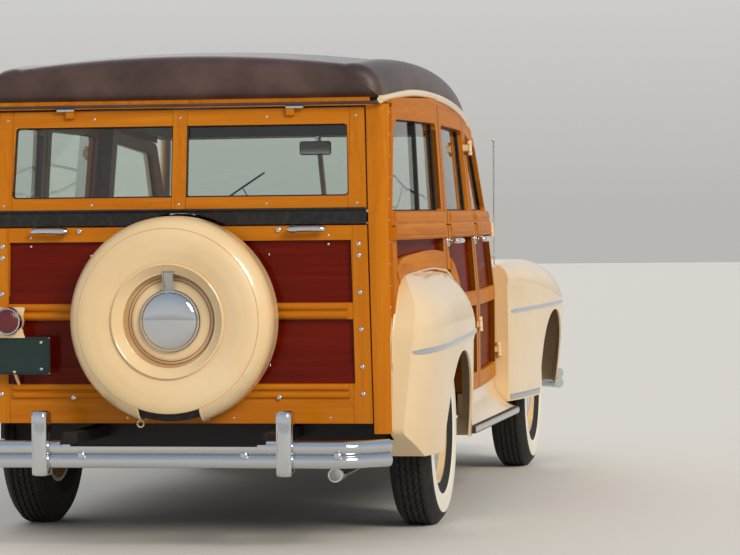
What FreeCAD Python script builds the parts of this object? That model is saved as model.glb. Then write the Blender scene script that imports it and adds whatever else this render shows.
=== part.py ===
import FreeCAD, Part
import math
import os

V = FreeCAD.Vector

# A wood-bodied station wagon of the late 1940s, in millimetres.
# While it is built, x runs to the car's right, y ahead of the rear axle and z
# up from the road. Each piece is turned to face -Y and centred as it is saved.

# Running gear
WHEELBASE = 2896.0
REAR_TRACK = 1524.0
FRONT_TRACK = 1473.0
TYRE_RADIUS = 364.0
TYRE_WIDTH = 165.0
RIM_RADIUS = 205.0
RIM_WALL = 6.0
KNUCKLE_X = 640.0
DRUM_INNER = 40.0
AXLE_TUBE_RADIUS = 38.0
RAIL_WIDTH = 55.0
RAIL_DEPTH = 110.0

# Length of the body, measured ahead of the rear axle
GATE_FACE_Y = -842.0
LIFT_TOP_Y = -791.0
SIDE_FRONT_Y = 2060.0
REAR_BUMPER_Y = -1150.0
FRONT_BUMPER_Y = 3776.0

# Heights
SIDE_BOTTOM_Z = 482.0
BELT_TOP_Z = 1212.0
BELT_BOTTOM_Z = 1110.0
MID_TOP_Z = 885.0
MID_BOTTOM_Z = 825.0
WINDOW_TOP_Z = 1545.0
WINDOW_SILL_Z = 1216.0
FLOOR_Z = 440.0
LOAD_FLOOR_Z = 637.0
FLOOR_THICK = 18.0
RUNNING_BOARD_Z = 345.0

# Walls and clearances
WALL = 45.0
FRAME_PROUD = 8.0
BELT_PROUD = 20.0
PANEL_SUNK = 10.0
PANEL_THICK = 24.0
GLASS_THICK = 6.0
GLASS_SUNK = 18.0
STILE = 58.0
DOOR_GAP = 9.0
GATE_GAP = 6.0
FENDER_GAP = 13.0
FENDER_SHEET = 8.0
ROOF_THICK = 26.0

# Doors
REAR_DOOR_BACK_Y = 132.0
REAR_DOOR_FRONT_Y = 893.0
FRONT_DOOR_BACK_Y = 905.0
FRONT_DOOR_FRONT_Y = 1843.0
PILLAR_TOP_Y = 1600.0
HINGE_LEAN = 45.0
HINGE_RISE = 860.0
HINGE_FOOT_Z = 640.0
HINGE_OUT = 22.0
HINGE_RADIUS = 9.0
HINGE_LONG = 32.0
HINGE_END = 13.0
HINGE_PLAY = 0.5
REAR_HINGE_Z = [745.0, 1475.0]
FRONT_HINGE_Z = [600.0, 1130.0]

# Tailgate and liftgate
GATE_HALF_TOP = 702.0
GATE_HALF_BOTTOM = 717.0
GATE_TOP_Z = 1166.0
GATE_BOTTOM_Z = 445.0
GATE_HINGE_Z = 640.0
GATE_HINGE_Y = -810.0
GATE_HINGE_RADIUS = 11.0
GATE_SKIRT = 22.0
LIFT_HALF_TOP = 687.0
LIFT_HALF_BOTTOM = 700.0
LIFT_TOP_Z = 1596.0
LIFT_BOTTOM_Z = 1222.0
LIFT_GLASS_TOP_Z = 1537.0
LIFT_GLASS_BOTTOM_Z = 1274.0
LIFT_THICK = 40.0
LIFT_HINGE_Z = 1600.0
LIFT_HINGE_Y = -806.0
LIFT_HINGE_RADIUS = 6.5
LIFT_HINGE_X = [400.0]
FLAP_BOTTOM_Z = 1172.0
POST_WIDTH = 64.0
POST_DEPTH = 58.0
POST_ROUND = 42.0

# Spare wheel on the tailgate
SPARE_Z = 826.0
SPARE_RADIUS = 380.0
SPARE_THICK = 186.0
SPARE_OPENING = 172.0
SPARE_HUB_RADIUS = 46.0
SPARE_SHEET = 6.0
SPARE_PLAY = 8.3
SPARE_ROUND = 86.0
SPARE_SEAM = 336.0
SPARE_GAP = 116.0
FLAP_CLEAR = 10.0
LAMP_X = -628.0
PLATE_END_X = -478.0
PLATE_CLEAR = 8.0
PLATE_TALL = 134.0
SPARE_Y = GATE_FACE_Y - 12.0 - SPARE_THICK
SPARE_MIDDLE_Y = SPARE_Y + SPARE_SHEET + SPARE_PLAY + TYRE_WIDTH / 2.0
SPARE_HUB_Y = SPARE_MIDDLE_Y - 15.2

# Wheel openings and fenders
REAR_OPENING = 378.0
REAR_OPENING_Z = 296.0
FRONT_OPENING = 384.0
FENDER_WIDE = 928.0

# The side of the body: height, half width at its widest, place of the widest
# point, for a long arc in plan whose radius is SIDE_ARC.
SIDE_ARC = 12775.0
SIDE_LEVELS = [
    (380.0, 850.0, 500.0),
    (855.0, 850.0, 500.0),
    (1161.0, 831.0, 390.0),
    (1665.0, 797.0, 90.0),
]

# The roof: place along the car, height of its edge, half width at the edge,
# half width and height of the shoulder, height of the crown.
ROOF_SECTIONS = [
    (-812.0, 1616.0, 746.0, 612.0, 1752.0, 1790.0),
    (-302.0, 1655.0, 778.0, 634.0, 1790.0, 1829.0),
    (208.0, 1654.0, 790.0, 642.0, 1797.0, 1838.0),
    (718.0, 1631.0, 781.0, 630.0, 1781.0, 1822.0),
    (1228.0, 1591.0, 748.0, 600.0, 1728.0, 1776.0),
    (1738.0, 1552.0, 686.0, 548.0, 1592.0, 1646.0),
]
ROOF_REAR_ROUND = 55.0
ROOF_FRONT_ROUND = 16.0

# The front fender: place along the car, inner edge, inner top height, crown
# place and height, widest place and height, place and height of the lower lip.
FRONT_FENDER_SECTIONS = [
    (1852.0, 765.0, 930.0, 800.0, 974.0, 842.0, 880.0, 842.0, 366.0),
    (2272.0, 640.0, 985.0, 808.0, 986.0, 888.0, 850.0, 888.0, 362.0),
    (2692.0, 520.0, 972.0, 790.0, 986.0, 918.0, 800.0, 906.0, 360.0),
    (3112.0, 400.0, 930.0, 720.0, 965.0, 930.0, 750.0, 900.0, 366.0),
    (3532.0, 280.0, 850.0, 610.0, 890.0, 862.0, 700.0, 810.0, 380.0),
]
FENDER_NOSE_ROUND = 60.0

# The hood: place along the car, half width and height of its lower edge, half
# width and height of the shoulder, height of the crown.
HOOD_SECTIONS = [
    (2056.0, 632.0, 998.0, 455.0, 1122.0, 1174.0),
    (2551.0, 536.0, 985.0, 385.0, 1092.0, 1150.0),
    (3046.0, 410.0, 946.0, 290.0, 1040.0, 1100.0),
    (3541.0, 268.0, 860.0, 178.0, 925.0, 975.0),
]
HOOD_NOSE_ROUND = 25.0
HOOD_SHEET = 8.0

MODEL_Y = (FRONT_BUMPER_Y + REAR_BUMPER_Y) / 2.0
RIGHT = 1
LEFT = -1


# Shapes

def box(x0, x1, y0, y1, z0, z1):
    return Part.makeBox(x1 - x0, y1 - y0, z1 - z0, V(x0, y0, z0))


def rod(start, end, radius):
    run = end.sub(start)
    return Part.makeCylinder(radius, run.Length, start, run)


def pipe(start, end, radius, wall):
    return rod(start, end, radius).cut(rod(start, end, radius - wall))


def run_wire(points, bend):
    """An open wire through points, with a tangent arc at each turn."""
    edges = []
    last = points[0]
    for before, point, after in zip(points, points[1:], points[2:]):
        a = V(before.sub(point)).normalize()
        b = V(after.sub(point)).normalize()
        half = a.getAngle(b) / 2.0
        reach = bend / math.tan(half)
        bisector = a.add(b).normalize()
        centre = point.add(bisector * (bend / math.sin(half)))
        start = point.add(a * reach)
        end = point.add(b * reach)
        edges.append(Part.makeLine(last, start))
        edges.append(Part.Arc(start, centre.sub(bisector * bend), end).toShape())
        last = end
    edges.append(Part.makeLine(last, points[-1]))
    return Part.Wire(edges)


def bent_rod(points, radius, bend):
    """A round bar or pipe along points with rounded turns."""
    path = run_wire(points, bend)
    ring = Part.Wire(Part.makeCircle(radius, points[0], points[1].sub(points[0])))
    return path.makePipeShell([ring], True, False)


def outline(corners, place):
    """A closed wire through corners (u, v) or (u, v, radius)."""
    starts, mids, ends = [], [], []
    count = len(corners)
    for i, corner in enumerate(corners):
        point = V(corner[0], corner[1], 0)
        radius = corner[2] if len(corner) > 2 else 0.0
        if radius <= 0:
            starts.append(point)
            mids.append(None)
            ends.append(point)
            continue
        before = V(corners[i - 1][0], corners[i - 1][1], 0)
        after = V(corners[(i + 1) % count][0], corners[(i + 1) % count][1], 0)
        a = before.sub(point).normalize()
        b = after.sub(point).normalize()
        half = a.getAngle(b) / 2.0
        reach = radius / math.tan(half)
        bisector = a.add(b).normalize()
        centre = point.add(bisector * (radius / math.sin(half)))
        starts.append(point.add(a * reach))
        mids.append(centre.sub(bisector * radius))
        ends.append(point.add(b * reach))
    edges = []
    for i in range(count):
        if mids[i] is not None:
            arc = [place(p.x, p.y) for p in (starts[i], mids[i], ends[i])]
            edges.append(Part.Arc(*arc).toShape())
        p = ends[i]
        q = starts[(i + 1) % count]
        if p.sub(q).Length > 0.001:
            edges.append(Part.makeLine(place(p.x, p.y), place(q.x, q.y)))
    return Part.Wire(edges)


def side_plate(corners, x0, x1):
    """A side-view outline (y, z) as a solid from x0 to x1."""
    wire = outline(corners, lambda u, v: V(x0, u, v))
    return Part.Face(wire).extrude(V(x1 - x0, 0, 0))


def end_plate(corners, y0, y1):
    """An end-view outline (x, z) as a solid from y0 to y1."""
    wire = outline(corners, lambda u, v: V(u, y0, v))
    return Part.Face(wire).extrude(V(0, y1 - y0, 0))


def top_plate(corners, z0, z1):
    """A plan outline (x, y) as a solid from z0 to z1."""
    wire = outline(corners, lambda u, v: V(u, v, z0))
    return Part.Face(wire).extrude(V(0, 0, z1 - z0))


def turned(profile, centre, axis):
    """A profile (radius, along) turned round an axis along x or y."""
    if axis == "x":
        wire = outline(profile, lambda u, v: V(v, 0, u))
        solid = Part.Face(wire).revolve(V(0, 0, 0), V(1, 0, 0), 360)
    else:
        wire = outline(profile, lambda u, v: V(0, v, u))
        solid = Part.Face(wire).revolve(V(0, 0, 0), V(0, 1, 0), 360)
    solid.translate(centre)
    return Part.Solid(solid) if solid.ShapeType == "Shell" else solid


def fuse(pieces):
    whole = pieces[0]
    if len(pieces) > 1:
        whole = whole.multiFuse(pieces[1:])
    return whole.removeSplitter()


def mirrored(shape):
    return shape.mirror(V(0, 0, 0), V(1, 0, 0))


def pair(shape):
    return [shape, mirrored(shape)]


def on_side(shape, side):
    return shape if side == RIGHT else mirrored(shape)


def solids(shapes):
    found = []
    for shape in shapes:
        found.extend(shape.Solids)
    return found


MADE = {}


def cleared(shapes, *names):
    """The pieces with what the named nodes fill taken out of them."""
    left = []
    for shape in shapes:
        for name in names:
            for other in MADE[name]:
                if shape.BoundBox.intersect(other.BoundBox):
                    shape = shape.cut(other)
        left.append(shape)
    return left


def save(name, shapes):
    """Turn the pieces to the model's frame and write them as one node."""
    found = solids(shapes)
    MADE[name] = found
    whole = found[0] if len(found) == 1 else Part.makeCompound(found)
    whole = whole.copy()
    whole.rotate(V(0, 0, 0), V(0, 0, 1), 180)
    whole.translate(V(0, MODEL_Y, 0))
    whole.exportStep("parts/" + name + ".step")
    print(name, len(found), round(whole.Volume / 1e6, 2))


# The curved side wall

def side_x(y, z, out=0.0):
    """How far out the body's side lies at a place along and a height."""
    levels = SIDE_LEVELS
    z = min(max(z, levels[0][0]), levels[-1][0])
    for low, high in zip(levels, levels[1:]):
        if low[0] <= z <= high[0]:
            share = (z - low[0]) / (high[0] - low[0])
            xs = []
            for level in (low, high):
                reach = SIDE_ARC + out
                across = math.sqrt(reach ** 2 - (y - level[2]) ** 2)
                xs.append(level[1] - SIDE_ARC + across)
            return xs[0] + (xs[1] - xs[0]) * share
    return None


def side_wall(proud, deep):
    """The right side as a slab from proud of the surface to deep inside."""
    back = GATE_FACE_Y - 40.0
    front = SIDE_FRONT_Y
    middle = (back + front) / 2.0
    wires = []
    for z, _, _ in SIDE_LEVELS:
        outer = [V(side_x(y, z, proud), y, z) for y in (back, middle, front)]
        inner = [V(side_x(y, z, -deep), y, z) for y in (front, middle, back)]
        wires.append(Part.Wire([
            Part.Arc(*outer).toShape(),
            Part.makeLine(outer[2], inner[0]),
            Part.Arc(*inner).toShape(),
            Part.makeLine(inner[2], outer[0]),
        ]))
    return Part.makeLoft(wires, True, True)


FRAME_WALL = side_wall(FRAME_PROUD, WALL - FRAME_PROUD)
BELT_WALL = side_wall(BELT_PROUD, 10.0)
PANEL_WALL = side_wall(-PANEL_SUNK, PANEL_SUNK + PANEL_THICK)
GLASS_WALL = side_wall(-GLASS_SUNK, GLASS_SUNK + GLASS_THICK)
SIDE_INNER_X = 560.0
SIDE_OUTER_X = 1000.0


def through(corners):
    return side_plate(corners, SIDE_INNER_X, SIDE_OUTER_X)


def inset(corners, amount):
    """A side-view outline shrunk or grown, as a solid through the side."""
    wire = outline(corners, lambda u, v: V(SIDE_INNER_X, u, v))
    face = Part.Face(wire).makeOffset2D(amount, 0, False, False, True)
    return face.extrude(V(SIDE_OUTER_X - SIDE_INNER_X, 0, 0))


def band(z0, z1):
    return box(SIDE_INNER_X, SIDE_OUTER_X, GATE_FACE_Y - 100.0, SIDE_FRONT_Y + 100.0, z0, z1)


def roof_edge_z(y):
    sections = ROOF_SECTIONS
    for low, high in zip(sections, sections[1:]):
        if y <= high[0]:
            share = (y - low[0]) / (high[0] - low[0])
            return low[1] + (high[1] - low[1]) * share
    return sections[-1][1]


REAR_FENDER = [
    (-812.0, 405.0, 30.0), (-812.0, 780.0, 160.0), (-700.0, 972.0, 150.0),
    (-180.0, 1000.0, 300.0), (290.0, 965.0, 330.0), (470.0, 700.0, 260.0),
    (506.0, 300.0), (-600.0, 300.0, 60.0),
]
DOOR_TOP_DROP = 30.0
REAR_DOOR = [
    (REAR_DOOR_BACK_Y, SIDE_BOTTOM_Z), (REAR_DOOR_FRONT_Y, SIDE_BOTTOM_Z),
    (REAR_DOOR_FRONT_Y, roof_edge_z(REAR_DOOR_FRONT_Y) - DOOR_TOP_DROP),
    (REAR_DOOR_BACK_Y, roof_edge_z(REAR_DOOR_BACK_Y) - DOOR_TOP_DROP),
]
REAR_DOOR_WINDOW = [
    (REAR_DOOR_BACK_Y + STILE, WINDOW_SILL_Z, 12.0),
    (REAR_DOOR_FRONT_Y - STILE + 5.0, WINDOW_SILL_Z, 12.0),
    (REAR_DOOR_FRONT_Y - STILE + 5.0, WINDOW_TOP_Z, 30.0),
    (REAR_DOOR_BACK_Y + STILE, WINDOW_TOP_Z + 8.0, 30.0),
]
FRONT_DOOR = [
    (FRONT_DOOR_BACK_Y, SIDE_BOTTOM_Z), (FRONT_DOOR_FRONT_Y, SIDE_BOTTOM_Z),
    (FRONT_DOOR_FRONT_Y, BELT_TOP_Z),
    (PILLAR_TOP_Y, roof_edge_z(PILLAR_TOP_Y) - DOOR_TOP_DROP - 8.0, 60.0),
    (FRONT_DOOR_BACK_Y, roof_edge_z(FRONT_DOOR_BACK_Y) - DOOR_TOP_DROP),
]
FRONT_DOOR_WINDOW = [
    (FRONT_DOOR_BACK_Y + STILE, WINDOW_SILL_Z, 12.0),
    (FRONT_DOOR_FRONT_Y - STILE - 40.0, WINDOW_SILL_Z, 12.0),
    (PILLAR_TOP_Y - 42.0, WINDOW_TOP_Z - 62.0, 50.0),
    (FRONT_DOOR_BACK_Y + STILE, WINDOW_TOP_Z - 8.0, 30.0),
]
QUARTER = [
    (GATE_FACE_Y + POST_DEPTH, 600.0), (REAR_DOOR_BACK_Y - DOOR_GAP, 600.0),
    (REAR_DOOR_BACK_Y - DOOR_GAP, roof_edge_z(REAR_DOOR_BACK_Y)),
    (-560.0, roof_edge_z(-560.0)),
    (LIFT_TOP_Y + POST_DEPTH, roof_edge_z(LIFT_TOP_Y + POST_DEPTH)),
    (GATE_FACE_Y + POST_DEPTH, GATE_TOP_Z),
]
QUARTER_WINDOW = [
    (GATE_FACE_Y + POST_DEPTH + 12.0, WINDOW_SILL_Z, 12.0),
    (REAR_DOOR_BACK_Y - DOOR_GAP - STILE, WINDOW_SILL_Z, 12.0),
    (REAR_DOOR_BACK_Y - DOOR_GAP - STILE, WINDOW_TOP_Z + 10.0, 30.0),
    (LIFT_TOP_Y + POST_DEPTH + 20.0, WINDOW_TOP_Z + 8.0, 70.0),
]


def side_panel(shape, whole, inner, window):
    """Frame, sunk panels and glass of a door or quarter from its outlines."""
    low = inner.common(band(SIDE_BOTTOM_Z + STILE + 8.0, MID_BOTTOM_Z))
    high = inner.common(band(MID_TOP_Z, BELT_BOTTOM_Z))
    hole = through(window)
    frame = FRAME_WALL.common(shape).cut(low).cut(high).cut(hole)
    lips = [(BELT_BOTTOM_Z, BELT_BOTTOM_Z + 49.0), (BELT_BOTTOM_Z + 53.0, BELT_TOP_Z)]
    belts = [BELT_WALL.common(shape).common(band(z0, z1)) for z0, z1 in lips]
    panels = [PANEL_WALL.common(low), PANEL_WALL.common(high)]
    glass = GLASS_WALL.common(hole)
    return fuse([frame] + belts), [p for p in panels if p.Volume > 1.0], glass


def fender_outline(amount):
    return inset(REAR_FENDER, amount)


def door_handle(y, z):
    """A lever on its plate, pointing ahead from the door's rear edge."""
    x = side_x(y, z, FRAME_PROUD)
    plate = rod(V(x - 4.0, y, z), V(x + 6.0, y, z), 22.0)
    neck = rod(V(x, y, z), V(x + 34.0, y, z), 9.0)
    lever = box(x + 24.0, x + 42.0, y - 10.0, y + 112.0, z - 9.0, z + 9.0)
    return [plate, neck, lever]


def hinge_point(y, z):
    """Where a door's leaning hinge line passes a height."""
    foot = V(side_x(y, HINGE_FOOT_Z) + HINGE_OUT, y, HINGE_FOOT_Z)
    return foot.add(V(-HINGE_LEAN, 0, HINGE_RISE) * ((z - HINGE_FOOT_Z) / HINGE_RISE))


def door_hinges(y, heights, leaf_y, leaf_thick):
    """Hinge barrels on a door's front edge: the door's and the body's."""
    along = V(-HINGE_LEAN, 0, HINGE_RISE).normalize()
    half = HINGE_LONG / 2.0
    end = half + HINGE_PLAY + HINGE_END
    on_door = []
    on_body = []
    recess = []
    for z in heights:
        c = hinge_point(y, z)
        face = side_x(y, z)
        on_door.append(rod(c.sub(along * half), c.add(along * half), HINGE_RADIUS))
        on_door.append(box(face - 4.0, c.x + 4.0, y - 44.0, y, z - half + 2.0, z + half - 2.0))
        for sign in (1.0, -1.0):
            on_body.append(rod(c.add(along * (sign * (half + HINGE_PLAY))), c.add(along * (sign * end)), HINGE_RADIUS))
            z0, z1 = sorted((z + sign * (half + 2.0), z + sign * (end - 1.0)))
            on_body.append(box(face - WALL - 18.0, c.x, leaf_y, leaf_y + leaf_thick, z0, z1))
        recess.append(rod(c.sub(along * (end + 2.0)), c.add(along * (end + 2.0)), HINGE_RADIUS + 1.5))
    return (on_door, recess), on_body


def door_set(corners, window, handle_y, hinges, side, name, cut_fender):
    shape = through(corners)
    inner = inset(corners, -STILE)
    if cut_fender:
        shape = shape.cut(fender_outline(FENDER_GAP))
        inner = inner.cut(fender_outline(FENDER_GAP + STILE - 6.0))
    frame, panels, glass = side_panel(shape, corners, inner, window)
    barrels, recess = hinges
    frame = fuse([frame.cut(fuse(recess))] + door_handle(handle_y, 1097.0) + barrels)
    save("door_frame_" + name, [on_side(frame, side)])
    save("door_panels_" + name, [on_side(p, side) for p in panels])
    save("door_glass_" + name, [on_side(glass, side)])


def doors():
    gap = FRONT_DOOR_BACK_Y - REAR_DOOR_FRONT_Y
    rear, rear_body = door_hinges(REAR_DOOR_FRONT_Y, REAR_HINGE_Z, REAR_DOOR_FRONT_Y + gap * 0.375, gap * 0.25)
    front, front_body_side = door_hinges(FRONT_DOOR_FRONT_Y, FRONT_HINGE_Z, FRONT_DOOR_FRONT_Y + DOOR_GAP - 2.5, 8.0)
    for side, word in ((RIGHT, "right"), (LEFT, "left")):
        door_set(REAR_DOOR, REAR_DOOR_WINDOW, REAR_DOOR_BACK_Y + 30.0, rear, side, "rear_" + word, True)
        door_set(FRONT_DOOR, FRONT_DOOR_WINDOW, FRONT_DOOR_BACK_Y + 30.0, front, side, "front_" + word, False)
    return rear_body, front_body_side


def sides(hinges):
    shape = through(QUARTER).cut(fender_outline(-6.0))
    inner = inset(QUARTER, -STILE).cut(fender_outline(STILE))
    frame, panels, glass = side_panel(shape, QUARTER, inner, QUARTER_WINDOW)
    post_y = FRONT_DOOR_BACK_Y - 6.0
    top_z = roof_edge_z(post_y) - 4.0
    foot_x = side_x(post_y, 860.0) - WALL - 2.0
    head_x = side_x(post_y, top_z) - WALL - 6.0
    post = end_plate([(foot_x, FLOOR_Z), (foot_x, 855.0), (head_x, top_z),
                      (head_x - 40.0, top_z), (foot_x - 44.0, 855.0),
                      (foot_x - 44.0, FLOOR_Z)], post_y - 42.0, post_y + 42.0)
    post = fuse([post] + hinges)
    save("side_frames", cleared(pair(frame) + pair(post), "rear_fenders"))
    save("quarter_panels", sum([pair(p) for p in panels], []))
    return glass


def post_section(z, y, half, round_r):
    """Plan of a corner post at one height, round on its outer corner."""
    out = side_x(y + POST_DEPTH, z)
    inn = half + GATE_GAP
    corners = [(inn, y + 2.0), (out, y + 2.0, round_r), (out, y + POST_DEPTH), (inn, y + POST_DEPTH)]
    return outline(corners, lambda u, v: V(u, v, z))


def hinge_knuckle(x, centre, radius, leaf_back, leaf_z0, leaf_z1):
    """Half of a hinge on the top edge of the liftgate: barrel and leaf."""
    barrel = rod(V(x, centre.y, centre.z), V(x + HINGE_LONG, centre.y, centre.z), radius)
    leaf = box(x + 1.0, x + HINGE_LONG - 1.0, centre.y - 2.0, leaf_back, leaf_z0, leaf_z1)
    return [barrel.fuse(leaf)]


def gate_knuckle(start, long):
    """A round bush on the tailgate's hinge line, outwards from its end."""
    x = gate_half(GATE_HINGE_Z) + start
    return [rod(V(x, GATE_HINGE_Y, GATE_HINGE_Z), V(x + long, GATE_HINGE_Y, GATE_HINGE_Z), GATE_HINGE_RADIUS)]


def corner_posts():
    top_z = LIFT_TOP_Z + 12.0
    low = [post_section(407.0, GATE_FACE_Y, GATE_HALF_BOTTOM, POST_ROUND),
           post_section(GATE_TOP_Z, GATE_FACE_Y, GATE_HALF_TOP, POST_ROUND),
           post_section(top_z, LIFT_TOP_Y, LIFT_HALF_TOP, POST_ROUND)]
    post = Part.makeLoft(low, True, True)
    header = end_plate([(-LIFT_HALF_TOP - 20.0, LIFT_TOP_Z + 8.0), (LIFT_HALF_TOP + 20.0, LIFT_TOP_Z + 8.0),
                        (LIFT_HALF_TOP + 20.0, LIFT_TOP_Z + 46.0), (-LIFT_HALF_TOP - 20.0, LIFT_TOP_Z + 46.0)],
                       LIFT_TOP_Y + 4.0, LIFT_TOP_Y + POST_DEPTH)
    hinges = []
    for x in LIFT_HINGE_X:
        hinges += hinge_knuckle(x + HINGE_LONG + HINGE_PLAY, V(0, LIFT_HINGE_Y, LIFT_HINGE_Z), LIFT_HINGE_RADIUS,
                                LIFT_TOP_Y + 8.0, LIFT_HINGE_Z + 2.0, LIFT_HINGE_Z + 24.0)
    posts = pair(fuse([post] + gate_knuckle(GATE_GAP - HINGE_PLAY, 12.0)))
    whole = fuse(posts + [header] + [h for hinge in hinges for h in pair(hinge)])
    save("corner_posts", cleared([whole], "roof", "rear_fenders", "side_frames"))


# Roof, drip mouldings, cowl and windshield

def roof_solid(inward):
    """The roof filled in, or the space under it when moved inward."""
    drop = 30.0 if inward else 0.0
    wires = []
    for y, edge_z, edge, shoulder, shoulder_z, crown_z in ROOF_SECTIONS:
        e = V(edge - inward, y, edge_z - drop)
        s = V(shoulder - inward * 0.5, y, shoulder_z - inward * 0.8)
        c = V(0, y, crown_z - inward)
        bulge = 0.30 * (s.z - e.z)
        m = V((e.x + s.x) / 2.0 + bulge, y, (e.z + s.z) / 2.0 + bulge * 0.8)
        wires.append(Part.Wire([
            Part.Arc(e, m, s).toShape(),
            Part.Arc(s, c, V(-s.x, y, s.z)).toShape(),
            Part.Arc(V(-s.x, y, s.z), V(-m.x, y, m.z), V(-e.x, y, e.z)).toShape(),
            Part.makeLine(V(-e.x, y, e.z), e),
        ]))
    return Part.makeLoft(wires, True, False)


def round_end(solid, y, radius):
    """Round the curved edges of a lofted solid where it ends at y."""
    edges = []
    for edge in solid.Edges:
        bounds = edge.BoundBox
        flat = abs(bounds.YMin - y) < 0.5 and abs(bounds.YMax - y) < 0.5
        if flat and edge.Curve.TypeId != "Part::GeomLine":
            edges.append(edge)
    return solid.makeFillet(radius, edges)


def roof():
    outer = round_end(roof_solid(0.0), ROOF_SECTIONS[0][0], ROOF_REAR_ROUND)
    outer = round_end(outer, ROOF_SECTIONS[-1][0], ROOF_FRONT_ROUND)
    inner = roof_solid(ROOF_THICK)
    inner = inner.common(box(-900, 900, LIFT_TOP_Y + POST_DEPTH, PILLAR_TOP_Y + 100.0, 1400, 1900))
    shell = outer.cut(inner)
    save("roof", [shell])


def drip_points():
    points = []
    for y, edge_z, edge, _, _, _ in ROOF_SECTIONS[:-1]:
        points.append(V(edge + 4.0, y, edge_z + 6.0))
    return points


def cowl(hinges):
    floor_top = FLOOR_Z + FLOOR_THICK
    firewall = box(-700.0, 700.0, SIDE_FRONT_Y - 34.0, SIDE_FRONT_Y - 10.0, floor_top - 60.0, 1150.0)
    side = side_wall(0.0, 24.0).common(through([
        (FRONT_DOOR_FRONT_Y + DOOR_GAP, SIDE_BOTTOM_Z - 60.0), (SIDE_FRONT_Y - 10.0, SIDE_BOTTOM_Z - 60.0),
        (SIDE_FRONT_Y - 10.0, 1130.0), (FRONT_DOOR_FRONT_Y + DOOR_GAP + 40.0, BELT_TOP_Z - 16.0),
        (FRONT_DOOR_FRONT_Y + DOOR_GAP, BELT_TOP_Z - 16.0)]))
    top = top_plate([(-742.0, 1853.0), (742.0, 1853.0, 20.0), (690.0, 2050.0, 60.0), (-690.0, 2050.0, 60.0)], 1150.0, 1186.0)
    hollow = top_plate([(-690.0, 1700.0), (690.0, 1700.0), (640.0, 1960.0, 60.0), (-640.0, 1960.0, 60.0)], 1100.0, 1200.0)
    dash = end_plate([(-700.0, 1010.0), (700.0, 1010.0), (700.0, 1160.0, 20.0), (-700.0, 1160.0, 20.0)], 1840.0, 1880.0)
    pieces = [firewall, top, dash] + pair(side)
    foot = V(724.0, 1872.0, 1176.0)
    head = V(672.0, 1706.0, 1560.0)
    centre_foot = V(0.0, 2000.0, 1180.0)
    centre_head = V(0.0, 1816.0, 1566.0)
    pieces += pair(rod(foot, head, 24.0))
    pieces += [rod(centre_foot, centre_head, 13.0)]
    for low, high, radius in ((foot, centre_foot, 15.0), (head, centre_head, 17.0)):
        bar = rod(low, high, radius)
        pieces += pair(bar)
    column = rod(V(-360.0, 2036.0, 700.0), V(-360.0, 1560.0, 1010.0), 22.0)
    pieces.append(column)
    pieces += [h for hinge in hinges for h in pair(hinge)]
    door = inset(FRONT_DOOR, DOOR_GAP - 1.0)
    hinge_zone = box(SIDE_INNER_X, SIDE_OUTER_X, FRONT_DOOR_FRONT_Y, FRONT_DOOR_FRONT_Y + DOOR_GAP, SIDE_BOTTOM_Z, BELT_TOP_Z)
    body = fuse(pieces)
    for way in pair(door.cut(hinge_zone)):
        body = body.cut(way)
    return body, (foot, head, centre_foot, centre_head)


def pane(corners, thick):
    """A flat pane through three corners and the fourth that closes them."""
    a, b, c, d = corners
    normal = b.sub(a).cross(d.sub(a)).normalize()
    d = a.add(d.sub(a))
    c = c.sub(normal * normal.dot(c.sub(a)))
    wire = Part.makePolygon([a, b, c, d, a])
    face = Part.Face(wire)
    face.translate(normal * (-thick / 2.0))
    return face.extrude(normal * thick)


def front_body(hinges):
    body, (foot, head, centre_foot, centre_head) = cowl(hinges)
    glass = pane([foot, centre_foot, centre_head, head], GLASS_THICK)
    glass = glass.cut(body)
    largest = max(glass.Solids, key=lambda s: s.Volume)
    points = drip_points()
    end = V(head.x + 12.0, head.y, head.z - 4.0)
    rail = bent_rod(points + [end], 10.0, 400.0)
    whole = fuse([body] + pair(rail))
    whole, = cleared([whole], "roof", "side_frames", "floor", "engine", "frame", "corner_posts")
    save("cowl", [max(whole.Solids, key=lambda s: s.Volume)])
    return largest


def steering():
    centre = V(-360.0, 1545.0, 1020.0)
    ahead = V(-360.0, 2036.0, 700.0).sub(centre).normalize()
    ring = Part.makeTorus(212.0, 12.0, centre, ahead)
    hub = rod(centre.add(ahead * -10.0), centre.add(ahead * 14.0), 36.0)
    across = V(1, 0, 0)
    spokes = [rod(centre.add(across * -205.0), centre.add(across * 205.0), 8.0)]
    down = ahead.cross(across)
    spokes.append(rod(centre, centre.add(down * (205.0 if down.z < 0 else -205.0)), 8.0))
    save("steering_wheel", [fuse([ring, hub] + spokes)])


# Fenders, running boards and aprons

def loft_sections(wires, ruled=False):
    return Part.makeLoft(wires, True, ruled)


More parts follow.
